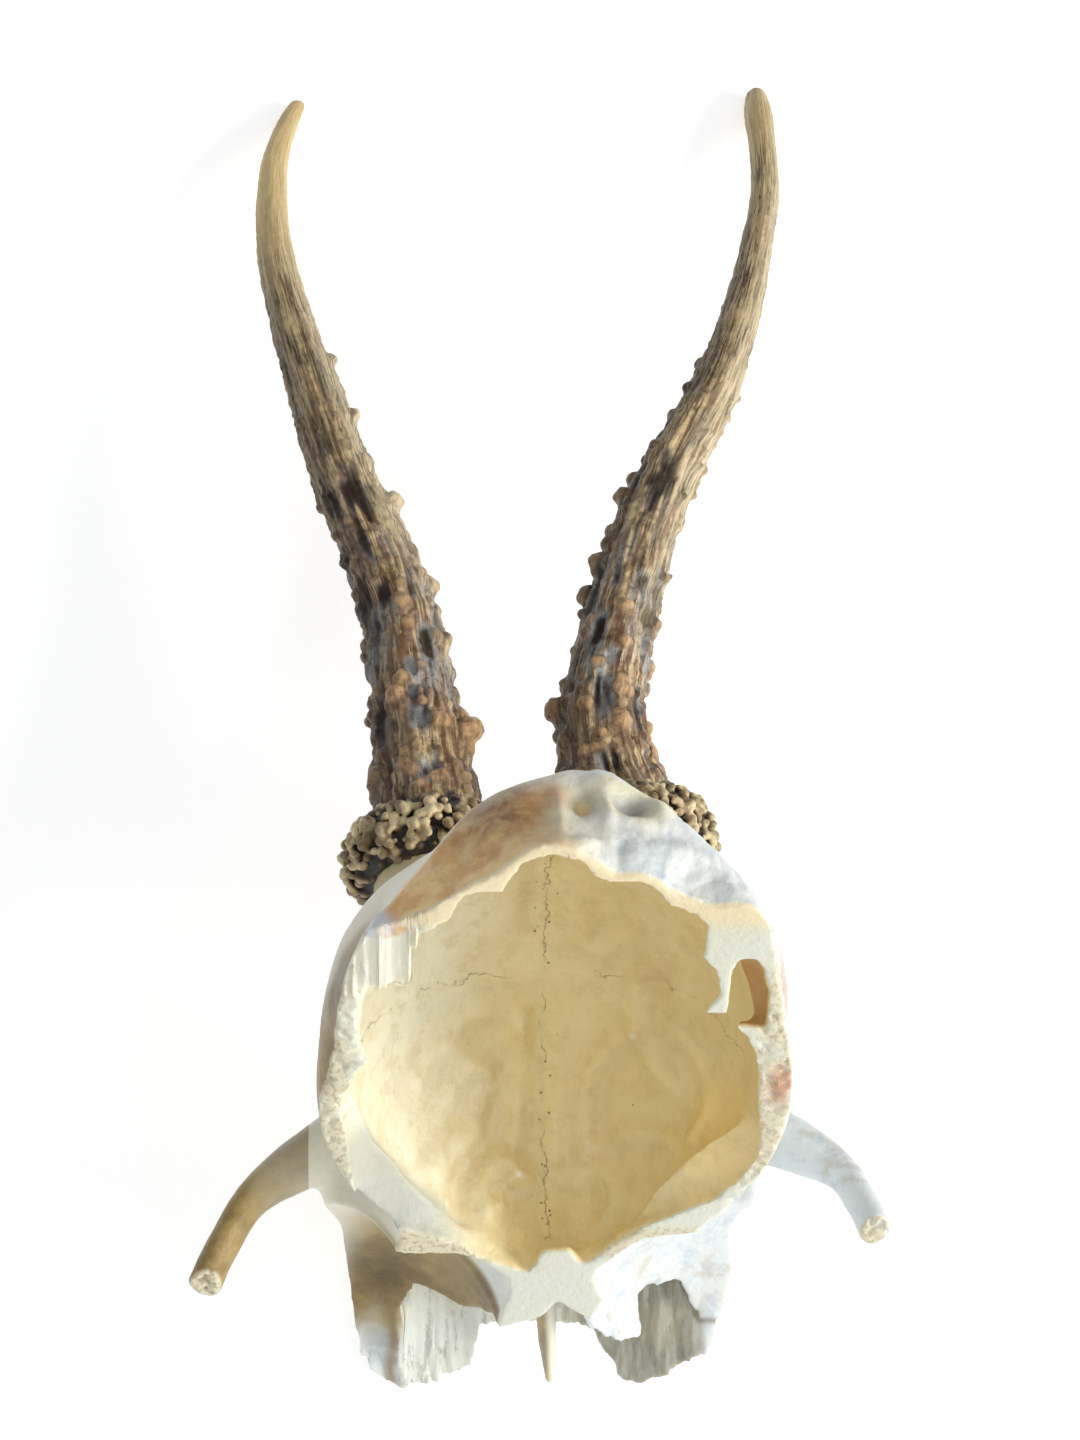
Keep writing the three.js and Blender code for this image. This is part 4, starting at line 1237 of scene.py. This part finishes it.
def inner_masks(at, inner):
    px, py, pz = at.T
    ledge = ramp(-9, -15, px) * ramp(-2, 5, py) * ramp(7, 3.5, pz)
    thin_side = spot(at, (21, 8, 7), (5, 9, 7), 0.9)
    thin_back = spot(at, (15, -30, 15), (6, 8, 6), 0.9)
    return dict(
        inner=inner,
        golden=golden_share(at, inner) * (1 - ledge),
        amber=inner * (thin_side + 0.6 * thin_back),
        bevel=inner * ledge,
        # The fold mask is painted shade in the valleys beside the folds and in the grooves.
        fold=fold_shade(at) * inner,
    )


print("the inner face has 5 masks")

# %% [markdown]
# Outside, the right half is painted a cool white, as painted light from the right. The wall of the left side
# and the roof of the left eye socket are brown, partly as brown tone and partly as painted shade, with the
# darkest painted shade deep in the hollow. The brow's broken plates show their rough inner faces, and painted
# shade lies along a crease on the left lobe, over the right plate and along the edge of the right hole.

# %% Outside masks
def cool_and_lit_share(at, outside, golden):
    """The right half, painted cool white as painted light from the right, and the left edge of the neck face,
    cool white bone.
    """
    lit_right_half = ramp(-2, 10, at[:, 0]) * (1 - 0.5 * golden)
    neck_edge = nape_share(at) * outside * ramp(-18, -21, wavy_x(at))
    return outside * np.maximum(lit_right_half, neck_edge)


# Brown tone and painted shade on the left wall and the left socket's roof, and darker painted shade deep in
# the hollow.
def brown_and_shade_masks(at, outside):
    px, py, pz = at.T
    wall = ramp(-18, -24, px) * (1 - ramp(0, 10, py)) * ramp(-34, -29, py)
    wall = wall * (1 - ramp(5, 16, pz + 5 * cloud(at, 8, 41))) * outside
    wall = wall * np.maximum(ramp(1.0, 1.6, pz), ramp(-0.3, 0.3, outline_distance(OUTER, px, py)))
    left_socket = (1 - ramp(0.5, 1.4, np.abs(socket(-1, px, py, pz)))) * ramp(-4, -6, px) * outside
    # The brown and painted shade fade out towards the socket's front end.
    front_fade = 1 - ramp(48, 61, py + 0.3 * (px + 12) + 3 * cloud(at, 2.5, 43))
    roof = left_socket * front_fade * ramp(-30, -22, px + 0.25 * (py - 40))
    deepest = np.maximum(patch(px, py, (-21, 46), (5, 7)), 0.9 * patch(px, py, (-9, 36), (6, 10)))
    return dict(tan=np.maximum(wall, 0.97 * roof), deep_shade=np.maximum(roof * deepest, 0.5 * wall))


def brow_masks(at, outside):
    px, py, _ = at.T
    plate = plate_share(at) * outside
    # Painted shade along the crease beside the ridge on the left lobe.
    crease_shade = bump(px + 0.5 * rough(at, 3, 47), -20.2, 0.9) * ramp(51, 55, py) * ramp(-4, -8, px)
    return dict(
        lobe=outside * ramp(54, 58, py) * (1 - ramp(-3, 3, px)),
        crease_shade=outside * crease_shade,
        plate=plate,
        # Painted shade over the right part of the plate, in streaks.
        plate_shade=plate * ramp(2, 8, px),
        # Painted shade along the edge of the right hole.
        hole_edge_shade=outside * bump(outline_distance(RIGHT_HOLE, px, py), -0.3, 0.45) * ramp(19, 20, px),
    )


print("the outside has 8 masks")

# %% [markdown]
# The saw cut shows spongy bone between two hard skins. The spongy places, a rusty spot, the hole of the ear
# and the grooved shelf get masks of their own, and all masks are stored on the bones.

# %% Cut face masks
def cut_masks(at, sawn_face):
    px, py, pz = at.T
    sponge = ramp(24, 27, np.abs(px)) * (0.4 + 0.8 * cloud(at, 2.5, 43))
    front_strip = ramp(18, 20, py) * (1 - ramp(24, 26, py)) * ramp(6, 9, np.abs(px))
    return dict(
        sawn=sawn_face,
        spongy=sawn_face * np.maximum(sponge, front_strip),
        rust=sawn_face * spot(at, (28.4, -8, 0), (1.6, 3.4, 3), 0.7),
        ear_hole=spot(at, (24, -22, 3), (4.5, 8, 5)) * ramp(0.3, 1.0, pz) * (1 - ramp(4, 8, pz)),
        grooves=sawn_face * (1 - ramp(-17, -16, px)) * (1 - ramp(-24.5, -23, py)),
    )


def bone_masks(name, at):
    inner = inside_share(at)
    sawn_face = sawn_share(at) * (1 - inner * ramp(0.1, 0.4, at[:, 2]))
    outside = (1 - inner) * (1 - sawn_face)
    masks = neck_masks(at, outside, sawn_face)
    masks.update(inner_masks(at, inner))
    # Brown tone and painted shade on the left side.
    masks.update(brown_and_shade_masks(at, outside))
    masks.update(brow_masks(at, outside))
    masks.update(cut_masks(at, sawn_face))
    # Cool white: painted light over the right half, and bone colour on the neck face's left edge.
    masks["cool_and_lit"] = cool_and_lit_share(at, outside, golden_share(at, inner)) * (1 - 0.8 * masks["crust"])
    if name == "orbital_bar_left":
        # The left bar is brown tone and painted shade, more towards its outer end.
        masks["tan"] = 0.45 + 0.4 * cloud(at, 8, 41) + 0.3 * ramp(-35, -43, at[:, 0])
    if name == "nasal_spine":
        # The spine's left side is brown tone and painted shade, and the spine gets none of the cool white
        # painted light.
        off_middle = at[:, 0] - SPINE["root"][0] - SPINE["lean"] * (at[:, 1] - SPINE["root"][1])
        masks["tan"] = 0.9 * ramp(0.6, -0.6, off_middle)
        masks["cool_and_lit"] = np.zeros(len(at))
    return {key: np.clip(values, 0, 1) for key, values in masks.items()}


for name, made in cap_pieces.items():
    at = points_of(made.data)
    store(made, **bone_masks(name, at))
    store(made, to_midline=at[:, 0] - midline_x(at[:, 1]), to_coronal=at[:, 1] - coronal_y(at[:, 0]))
    store_place(made, at)
print("masks stored on", len(cap_pieces), "bones")

# %% [markdown]
# On an antler the furrows are dark, the ridges are rubbed pale and the tip is polished. These masks use the
# same place on the beam as the furrows do, so colour and shape agree. They also hold painted light: a painted
# sheen low on the beam, a painted highlight on the side towards the lamp on the right and painted shade on
# the other side.

# %% Masks on the antlers
for side, made in antlers.items():
    at = points_of(made.data)
    share, angle, reach = beam_place(side, at)
    ring = around(side, share, angle)
    ridge = ramp(-0.7, 0.9, furrow_depth(ring))
    # Painted sheen, low on the beam and in patches.
    rubbed_and_sheen = ramp(0.52, 0.14, share) * ramp(-0.5, 0.5, rough(at, (4, 4, 6), 51))
    # Painted highlight on the side towards the lamp on the right, and painted shade on the other side.
    lit = ramp(-0.1, 0.9, np.cos(angle) * -side) * ramp(0.1, 0.45, share)
    dim = ramp(0.1, 0.95, np.cos(angle) * side) * (1 - ramp(0.7, 0.95, share))
    tip = ramp(0.62, 0.9, share) if side < 0 else 0.5 * ramp(0.8, 0.98, share)
    store(made, pearl=ramp(0.3, 1.7, reach - beam_radius(side, share)), ridge=ridge, share=share)
    store(made, sheen=rubbed_and_sheen * ramp(1.0, 0.5, ridge) * ramp(0.1, 0.4, ridge), tip=tip, lit=lit, dim=dim)
    store_place(made, ring)

for name, made in others.items():
    at = points_of(made.data)
    if "burr" in name:
        middle, along, inward, nape_way = antler_frame(-1 if "left" in name else 1, np.float64(0))
        high = (at - middle) @ along
        out = np.linalg.norm(at - middle - np.outer(high, along), axis=1)
        swell = burr_swell(out, high) - 0.1
        store(made, pearl=ramp(0.3, 0.95, swell), ridge=ramp(-0.1, 0.45, swell))
    store_place(made, at)
print("masks stored on", len(antlers) + len(others), "antler parts")

# %% [markdown]
# ## Materials
# A material is a tree of nodes, and a tree could be wired by hand in Blender's shader editor. Bone has some
# thirty coats of colour, so a small helper adds each coat with one line instead.

# %% Colour tools
def tint(red, green, blue):
    """A colour given from 0 to 255, as the light it stands for."""
    shares = [c / 255 for c in (red, green, blue)]
    return tuple(s / 12.92 if s <= 0.04045 else ((s + 0.055) / 1.055) ** 2.4 for s in shares) + (1.0,)


class Paint:
    """Adds nodes to a tree, and keeps the colour that the coats have made so far."""

    def __init__(self, tree, colour=None):
        self.tree = tree
        self.colour = colour

    def node(self, kind, **settings):
        made = self.tree.nodes.new(kind)
        for key, value in settings.items():
            setattr(made, key, value)
        return made

    def put(self, socket_in, value):
        if isinstance(value, bpy.types.NodeSocket):
            self.tree.links.new(value, socket_in)
        else:
            socket_in.default_value = value

    def mask(self, name):
        return self.node("ShaderNodeAttribute", attribute_name=name).outputs["Fac"]

    def place(self, size):
        """The stored place, counted in lumps of a size in millimetres."""
        stored = self.node("ShaderNodeAttribute", attribute_name="place")
        made = self.node("ShaderNodeVectorMath", operation="MULTIPLY")
        self.put(made.inputs[0], stored.outputs["Vector"])
        self.put(made.inputs[1], tuple(1 / s for s in np.broadcast_to(size, 3).astype(float)))
        return made.outputs[0]

    def noise(self, size, detail=4, rough_share=0.6):
        made = self.node("ShaderNodeTexNoise")
        self.put(made.inputs["Vector"], self.place(size))
        self.put(made.inputs["Scale"], 1.0)
        self.put(made.inputs["Detail"], detail)
        self.put(made.inputs["Roughness"], rough_share)
        return made.outputs["Fac"]

    def cells(self, size):
        """The distance to the middle of a random cell, and a random number for the cell."""
        made = self.node("ShaderNodeTexVoronoi")
        self.put(made.inputs["Vector"], self.place(size))
        self.put(made.inputs["Scale"], 1.0)
        return made.outputs["Distance"], made.outputs["Color"]

    def mixed(self, base, over, share):
        made = self.node("ShaderNodeMix", data_type="RGBA")
        self.put(made.inputs["Factor"], share)
        self.put(made.inputs[6], base)
        self.put(made.inputs[7], over)
        return made.outputs[2]

    def coat(self, over, mask, share=1.0):
        """Lays a colour over what is there, where a mask says so."""
        over = over if isinstance(over, bpy.types.NodeSocket) else tint(*over)
        mask = self.mask(mask) if isinstance(mask, str) else mask
        self.colour = self.mixed(self.colour, over, self.times(mask, share))

    def between(self, value, low, high, start=0.0, end=1.0):
        made = self.node("ShaderNodeMapRange", interpolation_type="SMOOTHSTEP")
        self.put(made.inputs["Value"], value)
        for key, number in (("From Min", low), ("From Max", high), ("To Min", start), ("To Max", end)):
            made.inputs[key].default_value = number
        return made.outputs["Result"]

    def maths(self, operation, *values):
        made = self.node("ShaderNodeMath", operation=operation)
        for slot_in, value in zip(made.inputs, values):
            self.put(slot_in, value)
        return made.outputs[0]

    def times(self, a, b):
        return self.maths("MULTIPLY", a, b)

    def plus(self, a, b):
        return self.maths("ADD", a, b)

    def minus(self, a, b):
        return self.maths("SUBTRACT", a, b)

    def highest(self, a, b):
        return self.maths("MAXIMUM", a, b)


print("bone white as light:", [round(c, 2) for c in tint(236, 232, 212)[:3]])

# %% [markdown]
# Four materials are bone and differ only in their base colour. The bone itself is therefore one node group
# with its base colour as an input and with a colour and a depth as outputs. It is built once and placed in
# each of the four. Its coats are added from the inside of the skull to the saw cut.

# %% Coats of bone
def inside_coats(paint):
    paint.coat((252, 249, 226), "inner")
    paint.coat((230, 211, 156), "golden")
    paint.coat((252, 220, 146), "amber", 0.8)
    dusk = paint.between(paint.noise((3, 3, 5), 8, 0.7), 0.48, 0.62)
    paint.coat((196, 168, 106), "inner", paint.times(dusk, 0.24))
    paint.coat((196, 198, 186), "bevel")
    # Painted shade in the valleys beside the folds and in the grooves.
    paint.coat((164, 132, 78), "fold", 0.1)


def neck_coats(paint, mottle):
    uneven = paint.between(paint.noise((6, 6, 4), 6, 0.65), 0.42, 0.58)
    honey = paint.mixed(tint(250, 222, 158), tint(232, 186, 116), uneven)
    paint.coat(honey, "stain", 0.95)
    paint.coat((228, 160, 84), "streak", paint.times(mottle, 0.8))
    paint.coat((134, 82, 42), "brown", paint.times(mottle, 0.95))


def outside_coats(paint, mottle, clouds):
    # Brown tone and painted shade on the left wall, the left bar and the left socket's roof.
    earth_and_shade = paint.mixed(tint(132, 108, 58), tint(172, 146, 86), paint.between(clouds, 0.42, 0.6))
    paint.coat(earth_and_shade, "tan")
    # Darker painted shade deep in the left socket's hollow and on the left wall.
    paint.coat((98, 78, 44), "deep_shade", 0.8)
    # Cool white with blue and grey patches: painted light over the right half, bone colour on the neck face's
    # left edge.
    paint.coat((216, 224, 227), "cool_and_lit", 0.85)
    paint.coat((198, 212, 220), "lobe", 0.75)
    blue = paint.between(paint.noise(4, 6, 0.65), 0.5, 0.64)
    paint.coat((184, 196, 210), "cool_and_lit", paint.times(blue, 0.55))
    grey = paint.between(paint.noise((7, 7, 3), 6, 0.65), 0.56, 0.66)
    paint.coat((184, 176, 160), "cool_and_lit", paint.times(grey, 0.45))
    # Painted shade along the crease on the left lobe.
    paint.coat((150, 124, 78), "crease_shade", 0.8)
    paint.coat((232, 226, 192), "crust", 0.7)
    paint.coat((128, 116, 92), "pit", paint.times(mottle, 0.85))
    paint.coat((224, 227, 216), "plate", 0.9)
    # Painted shade over the right plate, in streaks.
    drift = paint.between(paint.noise((1.6, 9, 6), 5), 0.36, 0.62, 0.55, 0.9)
    paint.coat((142, 139, 118), "plate_shade", drift)


def cut_coats(paint, clouds):
    paint.coat((220, 222, 206), "sawn")
    paint.coat((240, 220, 174), "nape_rim", 0.8)
    paint.coat((218, 200, 156), "spongy", 0.5)
    paint.coat((196, 130, 96), "rust", 0.75)
    paint.coat((166, 112, 44), "ear_hole", 0.9)
    # Painted shade along the edge of the right hole.
    paint.coat((120, 104, 76), "hole_edge_shade", 0.7)
    paint.coat((206, 184, 136), paint.between(clouds, 0.42, 0.66, 0.0, 0.16))


print("coats of bone: inside, neck, outside and cut")

# %% [markdown]
# Hair-thin seams, small blood holes and fine cracks could be modelled, but at this size they would need
# millions of faces. They are painted dark, and the same masks lower the surface a little.

# %% Marks in the bone
def hairline(paint, name, wobble, width):
    """A thin crooked line where a signed distance is zero."""
    shifted = paint.plus(paint.mask(name), paint.between(wobble, 0.3, 0.7, -0.4, 0.4))
    return paint.between(paint.maths("ABSOLUTE", shifted), width, 0.3 * width)


def blood_holes(paint):
    """Small dark holes, close together along the midline and here and there elsewhere."""
    near_midline = paint.between(paint.maths("ABSOLUTE", paint.mask("to_midline")), 2.4, 1.0)
    pores, chosen = paint.cells(1.5)
    pore = paint.times(paint.between(pores, 0.15, 0.08), paint.between(chosen, 0.36, 0.4))
    stray_pores, stray_chosen = paint.cells(4)
    stray = paint.times(paint.between(stray_pores, 0.05, 0.03), paint.between(stray_chosen, 0.6, 0.65))
    return paint.highest(paint.times(pore, near_midline), stray)


def seams(paint):
    wobble = paint.noise(1.6)
    midline = paint.times(hairline(paint, "to_midline", wobble, 0.13), 0.6)
    coronal = paint.times(hairline(paint, "to_coronal", wobble, 0.12), 0.5)
    here_and_there = paint.between(paint.noise(7, 3), 0.42, 0.56)
    return paint.times(paint.highest(midline, coronal), here_and_there)


def mark_coats(paint):
    """Paints the marks and gives their depth."""
    dark = paint.highest(seams(paint), paint.times(blood_holes(paint), 0.8))
    dark = paint.times(dark, paint.mask("inner"))
    paint.coat((116, 84, 44), dark)
    fine = paint.times(paint.between(paint.noise((0.4, 9, 9)), 0.5, 0.6), paint.mask("grooves"))
    cracks = paint.times(paint.between(paint.noise((1.3, 6, 5), 8, 0.75), 0.55, 0.64), paint.mask("plate"))
    groove = paint.highest(fine, cracks)
    paint.coat((156, 150, 130), groove, 0.5)
    hole = paint.times(paint.between(paint.noise(0.7), 0.52, 0.64), paint.mask("spongy"))
    paint.coat((190, 166, 118), hole, 0.6)
    return paint.plus(paint.plus(paint.times(dark, 1.5), groove), hole)


print("marks in the bone: seams, blood holes, cracks and sponge")

# %% [markdown]
# A node group has named sockets on both sides. The bone's group is wired once here. The fine grain that every
# material of the skull shares is a second small group, with the size of its lumps as an input.

# %% Shared node groups
def new_group(name, inputs, outputs):
    group = bpy.data.node_groups.new(name, "ShaderNodeTree")
    for socket_name, kind in inputs.items():
        group.interface.new_socket(name=socket_name, in_out="INPUT", socket_type=kind)
    for socket_name, kind in outputs.items():
        group.interface.new_socket(name=socket_name, in_out="OUTPUT", socket_type=kind)
    paint = Paint(group)
    return paint, paint.node("NodeGroupInput").outputs, paint.node("NodeGroupOutput").inputs


def bone_group():
    outputs = {"Colour": "NodeSocketColor", "Depth": "NodeSocketFloat"}
    paint, given, result = new_group("bone_surface", {"Base": "NodeSocketColor"}, outputs)
    paint.colour = given["Base"]
    clouds = paint.noise(14, 6)
    mottle = paint.between(paint.noise(2.2, 6, 0.65), 0.35, 0.62, 0.55, 1.0)
    inside_coats(paint)
    neck_coats(paint, mottle)
    outside_coats(paint, mottle, clouds)
    cut_coats(paint, clouds)
    depth = mark_coats(paint)
    paint.put(result["Colour"], paint.colour)
    paint.put(result["Depth"], depth)
    return paint.tree


def grain_group():
    inputs = {"Lumps per mm": "NodeSocketVector", "Detail": "NodeSocketFloat"}
    paint, given, result = new_group("fine_grain", inputs, {"Height": "NodeSocketFloat"})
    place = paint.place(1)
    paint.put(place.node.inputs[1], given["Lumps per mm"])
    grain = paint.node("ShaderNodeTexNoise")
    paint.put(grain.inputs["Vector"], place)
    paint.put(grain.inputs["Scale"], 1.0)
    paint.put(grain.inputs["Detail"], given["Detail"])
    paint.put(grain.inputs["Roughness"], 0.6)
    paint.put(result["Height"], grain.outputs["Fac"])
    return paint.tree


BONE_SURFACE = bone_group()
FINE_GRAIN = grain_group()
print("bone group of", len(BONE_SURFACE.nodes), "nodes, grain group of", len(FINE_GRAIN.nodes))

# %% [markdown]
# Bone lets a little light in, so its material has a low subsurface share. Antler is dark horn-like bone with
# pale ridges and a polished tip, and the burr is pale pearls over dark pits.

# %% Materials of the skull
class Finish(Paint):
    """One material: its shader, its grain and its coats."""

    def __init__(self, name, roughness):
        self.material = bpy.data.materials.new(name)
        self.material.use_nodes = True
        super().__init__(self.material.node_tree)
        self.shader = self.tree.nodes["Principled BSDF"]
        self.shader.inputs["Roughness"].default_value = roughness

    def grain(self, size):
        made = self.node("ShaderNodeGroup", node_tree=FINE_GRAIN)
        made.inputs["Lumps per mm"].default_value = (1 / size, 1 / size, 1 / size)
        made.inputs["Detail"].default_value = 5
        return made.outputs["Height"]

    def finish(self, height, strength, distance):
        """Joins the colour and the bumps to the shader."""
        bumps = self.node("ShaderNodeBump")
        self.put(bumps.inputs["Strength"], strength)
        self.put(bumps.inputs["Distance"], distance)
        self.put(bumps.inputs["Height"], height)
        self.put(self.shader.inputs["Normal"], bumps.outputs["Normal"])
        self.put(self.shader.inputs["Base Color"], self.colour)
        return self.material


def bone_material(name, base):
    paint = Finish(name, 0.44)
    paint.shader.inputs["Subsurface Weight"].default_value = 0.12
    paint.shader.inputs["Subsurface Scale"].default_value = 0.003
    paint.shader.inputs["Subsurface Radius"].default_value = (1.0, 0.7, 0.4)
    bone = paint.node("ShaderNodeGroup", node_tree=BONE_SURFACE)
    bone.inputs["Base"].default_value = tint(*base)
    paint.colour = bone.outputs["Colour"]
    return paint.finish(paint.minus(paint.grain(1.1), bone.outputs["Depth"]), 0.45, 0.0005)


def antler_material(name):
    paint = Finish(name, 0.38)
    ridge, share, pearl = paint.mask("ridge"), paint.mask("share"), paint.mask("pearl")
    threads = paint.noise((0.8, 0.8, 10), 6, 0.7)
    worn = paint.between(share, 0.3, 0.85)
    raised = paint.between(ridge, 0.25, 0.8)
    thread = paint.between(threads, 0.46, 0.56)
    low = paint.mixed(tint(54, 36, 25), tint(138, 103, 70), raised)
    low = paint.mixed(low, tint(236, 210, 160), paint.times(paint.times(thread, raised), 0.9))
    high = paint.mixed(tint(92, 60, 36), tint(240, 212, 156), paint.highest(thread, paint.times(raised, 0.5)))
    paint.colour = paint.mixed(low, high, worn)
    # Painted sheen, low on the beam.
    paint.coat((200, 202, 200), "sheen", 0.7)
    speck = paint.between(paint.noise(1.4, 6, 0.7), 0.5, 0.6)
    paint.coat((36, 26, 20), paint.times(speck, paint.minus(1.0, worn)), 0.5)
    paint.coat((116, 82, 56), paint.between(pearl, 0.0, 0.35), 0.6)
    rubbed_and_sheen = paint.between(paint.noise(1.2, 6, 0.7), 0.4, 0.56, 0.3, 0.85)
    paint.coat((226, 182, 130), paint.between(pearl, 0.3, 0.95), rubbed_and_sheen)
    # Painted highlight on the lit side, then painted shade on the other side.
    paint.coat((240, 222, 184), "lit", paint.between(threads, 0.42, 0.56, 0.25, 0.85))
    paint.coat((38, 26, 18), "dim", 0.55)
    paint.coat((255, 224, 154), "tip", 0.92)
    return paint.finish(paint.plus(threads, paint.times(paint.grain(0.8), 0.6)), 0.8, 0.0008)


def burr_material(name):
    paint = Finish(name, 0.5)
    uneven = paint.between(paint.noise(4, 5), 0.4, 0.6)
    pearls = paint.mixed(tint(126, 102, 68), tint(228, 208, 164), uneven)
    paint.colour = tint(26, 18, 11)
    paint.coat((92, 72, 46), "ridge")
    paint.coat(pearls, "pearl")
    return paint.finish(paint.grain(0.9), 0.4, 0.0004)


FINISHES = {
    "cap_bone": bone_material("cap_bone", (236, 232, 212)),
    "cut_bone": bone_material("cut_bone", (228, 232, 224)),
    "bar_bone": bone_material("bar_bone", (230, 226, 206)),
    "pedicle_bone": bone_material("pedicle_bone", (214, 200, 160)),
    "burr_pearl": burr_material("burr_pearl"),
    "antler_surface": antler_material("antler_surface"),
}
print("materials:", ", ".join(FINISHES))

# %% [markdown]
# ## Placing the pieces
# Each piece is turned from the skull's axes into the part's and gets its finish. Smooth shading rounds the
# small faces, and only edges sharper than 50 degrees, such as the saw cut's, stay crisp. Moving the objects
# would do as well, but meshes in the part's own axes keep every object at rest.

# %% Finished pieces
SHARP_EDGE = math.radians(50)
SLOTS = {"antler": "antler_surface", "burr": "burr_pearl", "pedicle": "pedicle_bone"}
SLOTS.update({"orbital_bar": "bar_bone", "nasal_spine": "bar_bone", "ethmoid_block": "cut_bone"})


def slot_of(name):
    for start, slot in SLOTS.items():
        if name.startswith(start):
            return slot
    return "cap_bone"


finished = dict(cap_pieces)
finished.update(others)
finished.update({"antler_left": antlers[-1], "antler_right": antlers[1]})
for name, made in finished.items():
    made.data.transform(SKULL)
    made.data.shade_smooth()
    made.data.set_sharp_from_angle(angle=SHARP_EDGE)
    made.data.materials.clear()
    made.data.materials.append(FINISHES[slot_of(name)])
    made.name = f"{name}_bone" if name in cap_pieces else f"{name}_piece"
    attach(made, "root")
    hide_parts(name)
print(len(finished), "pieces in place")

# %% [markdown]
# ## Studio
# The skull lies on a pale floor that glows a little, so its shadow stays light. A small warm lamp from the
# right shapes the forms, a wide panel above fills them in, and the surround is even and bright. One lamp
# alone would leave the inside of the skull dark.

# %% Floor and light
FLOOR_SIZE = 6
bpy.ops.mesh.primitive_plane_add(size=FLOOR_SIZE, location=(0, 0, 0))
floor = bpy.context.object
floor.name = "floor"
floor_paint = Finish("floor_white", 0.9)
floor_paint.shader.inputs["Base Color"].default_value = (0.9, 0.9, 0.9, 1)
floor_paint.shader.inputs["Emission Color"].default_value = (1, 1, 1, 1)
floor_paint.shader.inputs["Emission Strength"].default_value = 0.5
floor.data.materials.append(floor_paint.material)

world = bpy.data.worlds.new("surround")
bpy.context.scene.world = world
world.use_nodes = True
world.node_tree.nodes["Background"].inputs["Color"].default_value = (0.93, 0.96, 1.0, 1)
world.node_tree.nodes["Background"].inputs["Strength"].default_value = 0.34


def lamp(name, direction, distance, size, power, colour):
    """A square soft lamp that looks at the skull."""
    light = bpy.data.lights.new(name, "AREA")
    light.size = size
    light.energy = power
    light.color = colour
    made = bpy.data.objects.new(name, light)
    bpy.context.scene.collection.objects.link(made)
    way = Vector(direction).normalized()
    made.location = way * distance
    made.rotation_euler = way.to_track_quat("Z", "Y").to_euler()
    return made


key = lamp("key", (0.9, -0.3, 0.45), 0.9, 0.35, 5.8, (1.0, 0.98, 0.94))
panel = lamp("panel", (0.1, -0.55, 0.85), 1.2, 1.0, 4.1, (0.98, 0.99, 1.0))
print("lamps of", round(key.data.energy, 1), "and", round(panel.data.energy, 1), "watts")

# %% [markdown]
# ## Camera
# The camera looks up into the sawn skull from behind, slightly from its left. It stands in the skull's axes,
# so it keeps this view of the opening however the skull lies.

# %% Camera
LOOK = math.radians(40)
YAW = math.radians(3)
DISTANCE = 400
PICTURE = dict(width=1080, height=1440, focal=3160, origin_x=553, origin_y=1130)  # all in pixels
SENSOR = 36
aim_right = (PICTURE["origin_x"] - PICTURE["width"] / 2) / PICTURE["focal"]
aim_up = -(PICTURE["origin_y"] - PICTURE["height"] / 2) / PICTURE["focal"]

straight = Vector((0, math.sin(LOOK), math.cos(LOOK)))
up = Vector((0, -math.cos(LOOK), math.sin(LOOK)))
right = Vector((1, 0, 0))
ahead = straight * math.cos(YAW) + right * math.sin(YAW)
right = right * math.cos(YAW) - straight * math.sin(YAW)
eye = -DISTANCE * (ahead + aim_right * right + aim_up * up)

lens = bpy.data.cameras.new("camera")
lens.sensor_fit = "AUTO"
lens.sensor_width = SENSOR
lens.lens = SENSOR * PICTURE["focal"] / PICTURE["height"]
lens.clip_start = 0.01
camera = bpy.data.objects.new("camera", lens)
bpy.context.scene.collection.objects.link(camera)
to_part = turn.to_3x3()
columns = Matrix([to_part @ right, to_part @ up, to_part @ -ahead]).transposed()
camera.matrix_world = Matrix.Translation(SKULL @ eye) @ columns.to_4x4()
bpy.context.scene.camera = camera
bpy.context.scene.view_settings.view_transform = "Standard"
print("camera", round(camera.location.z, 3), "m above the floor")
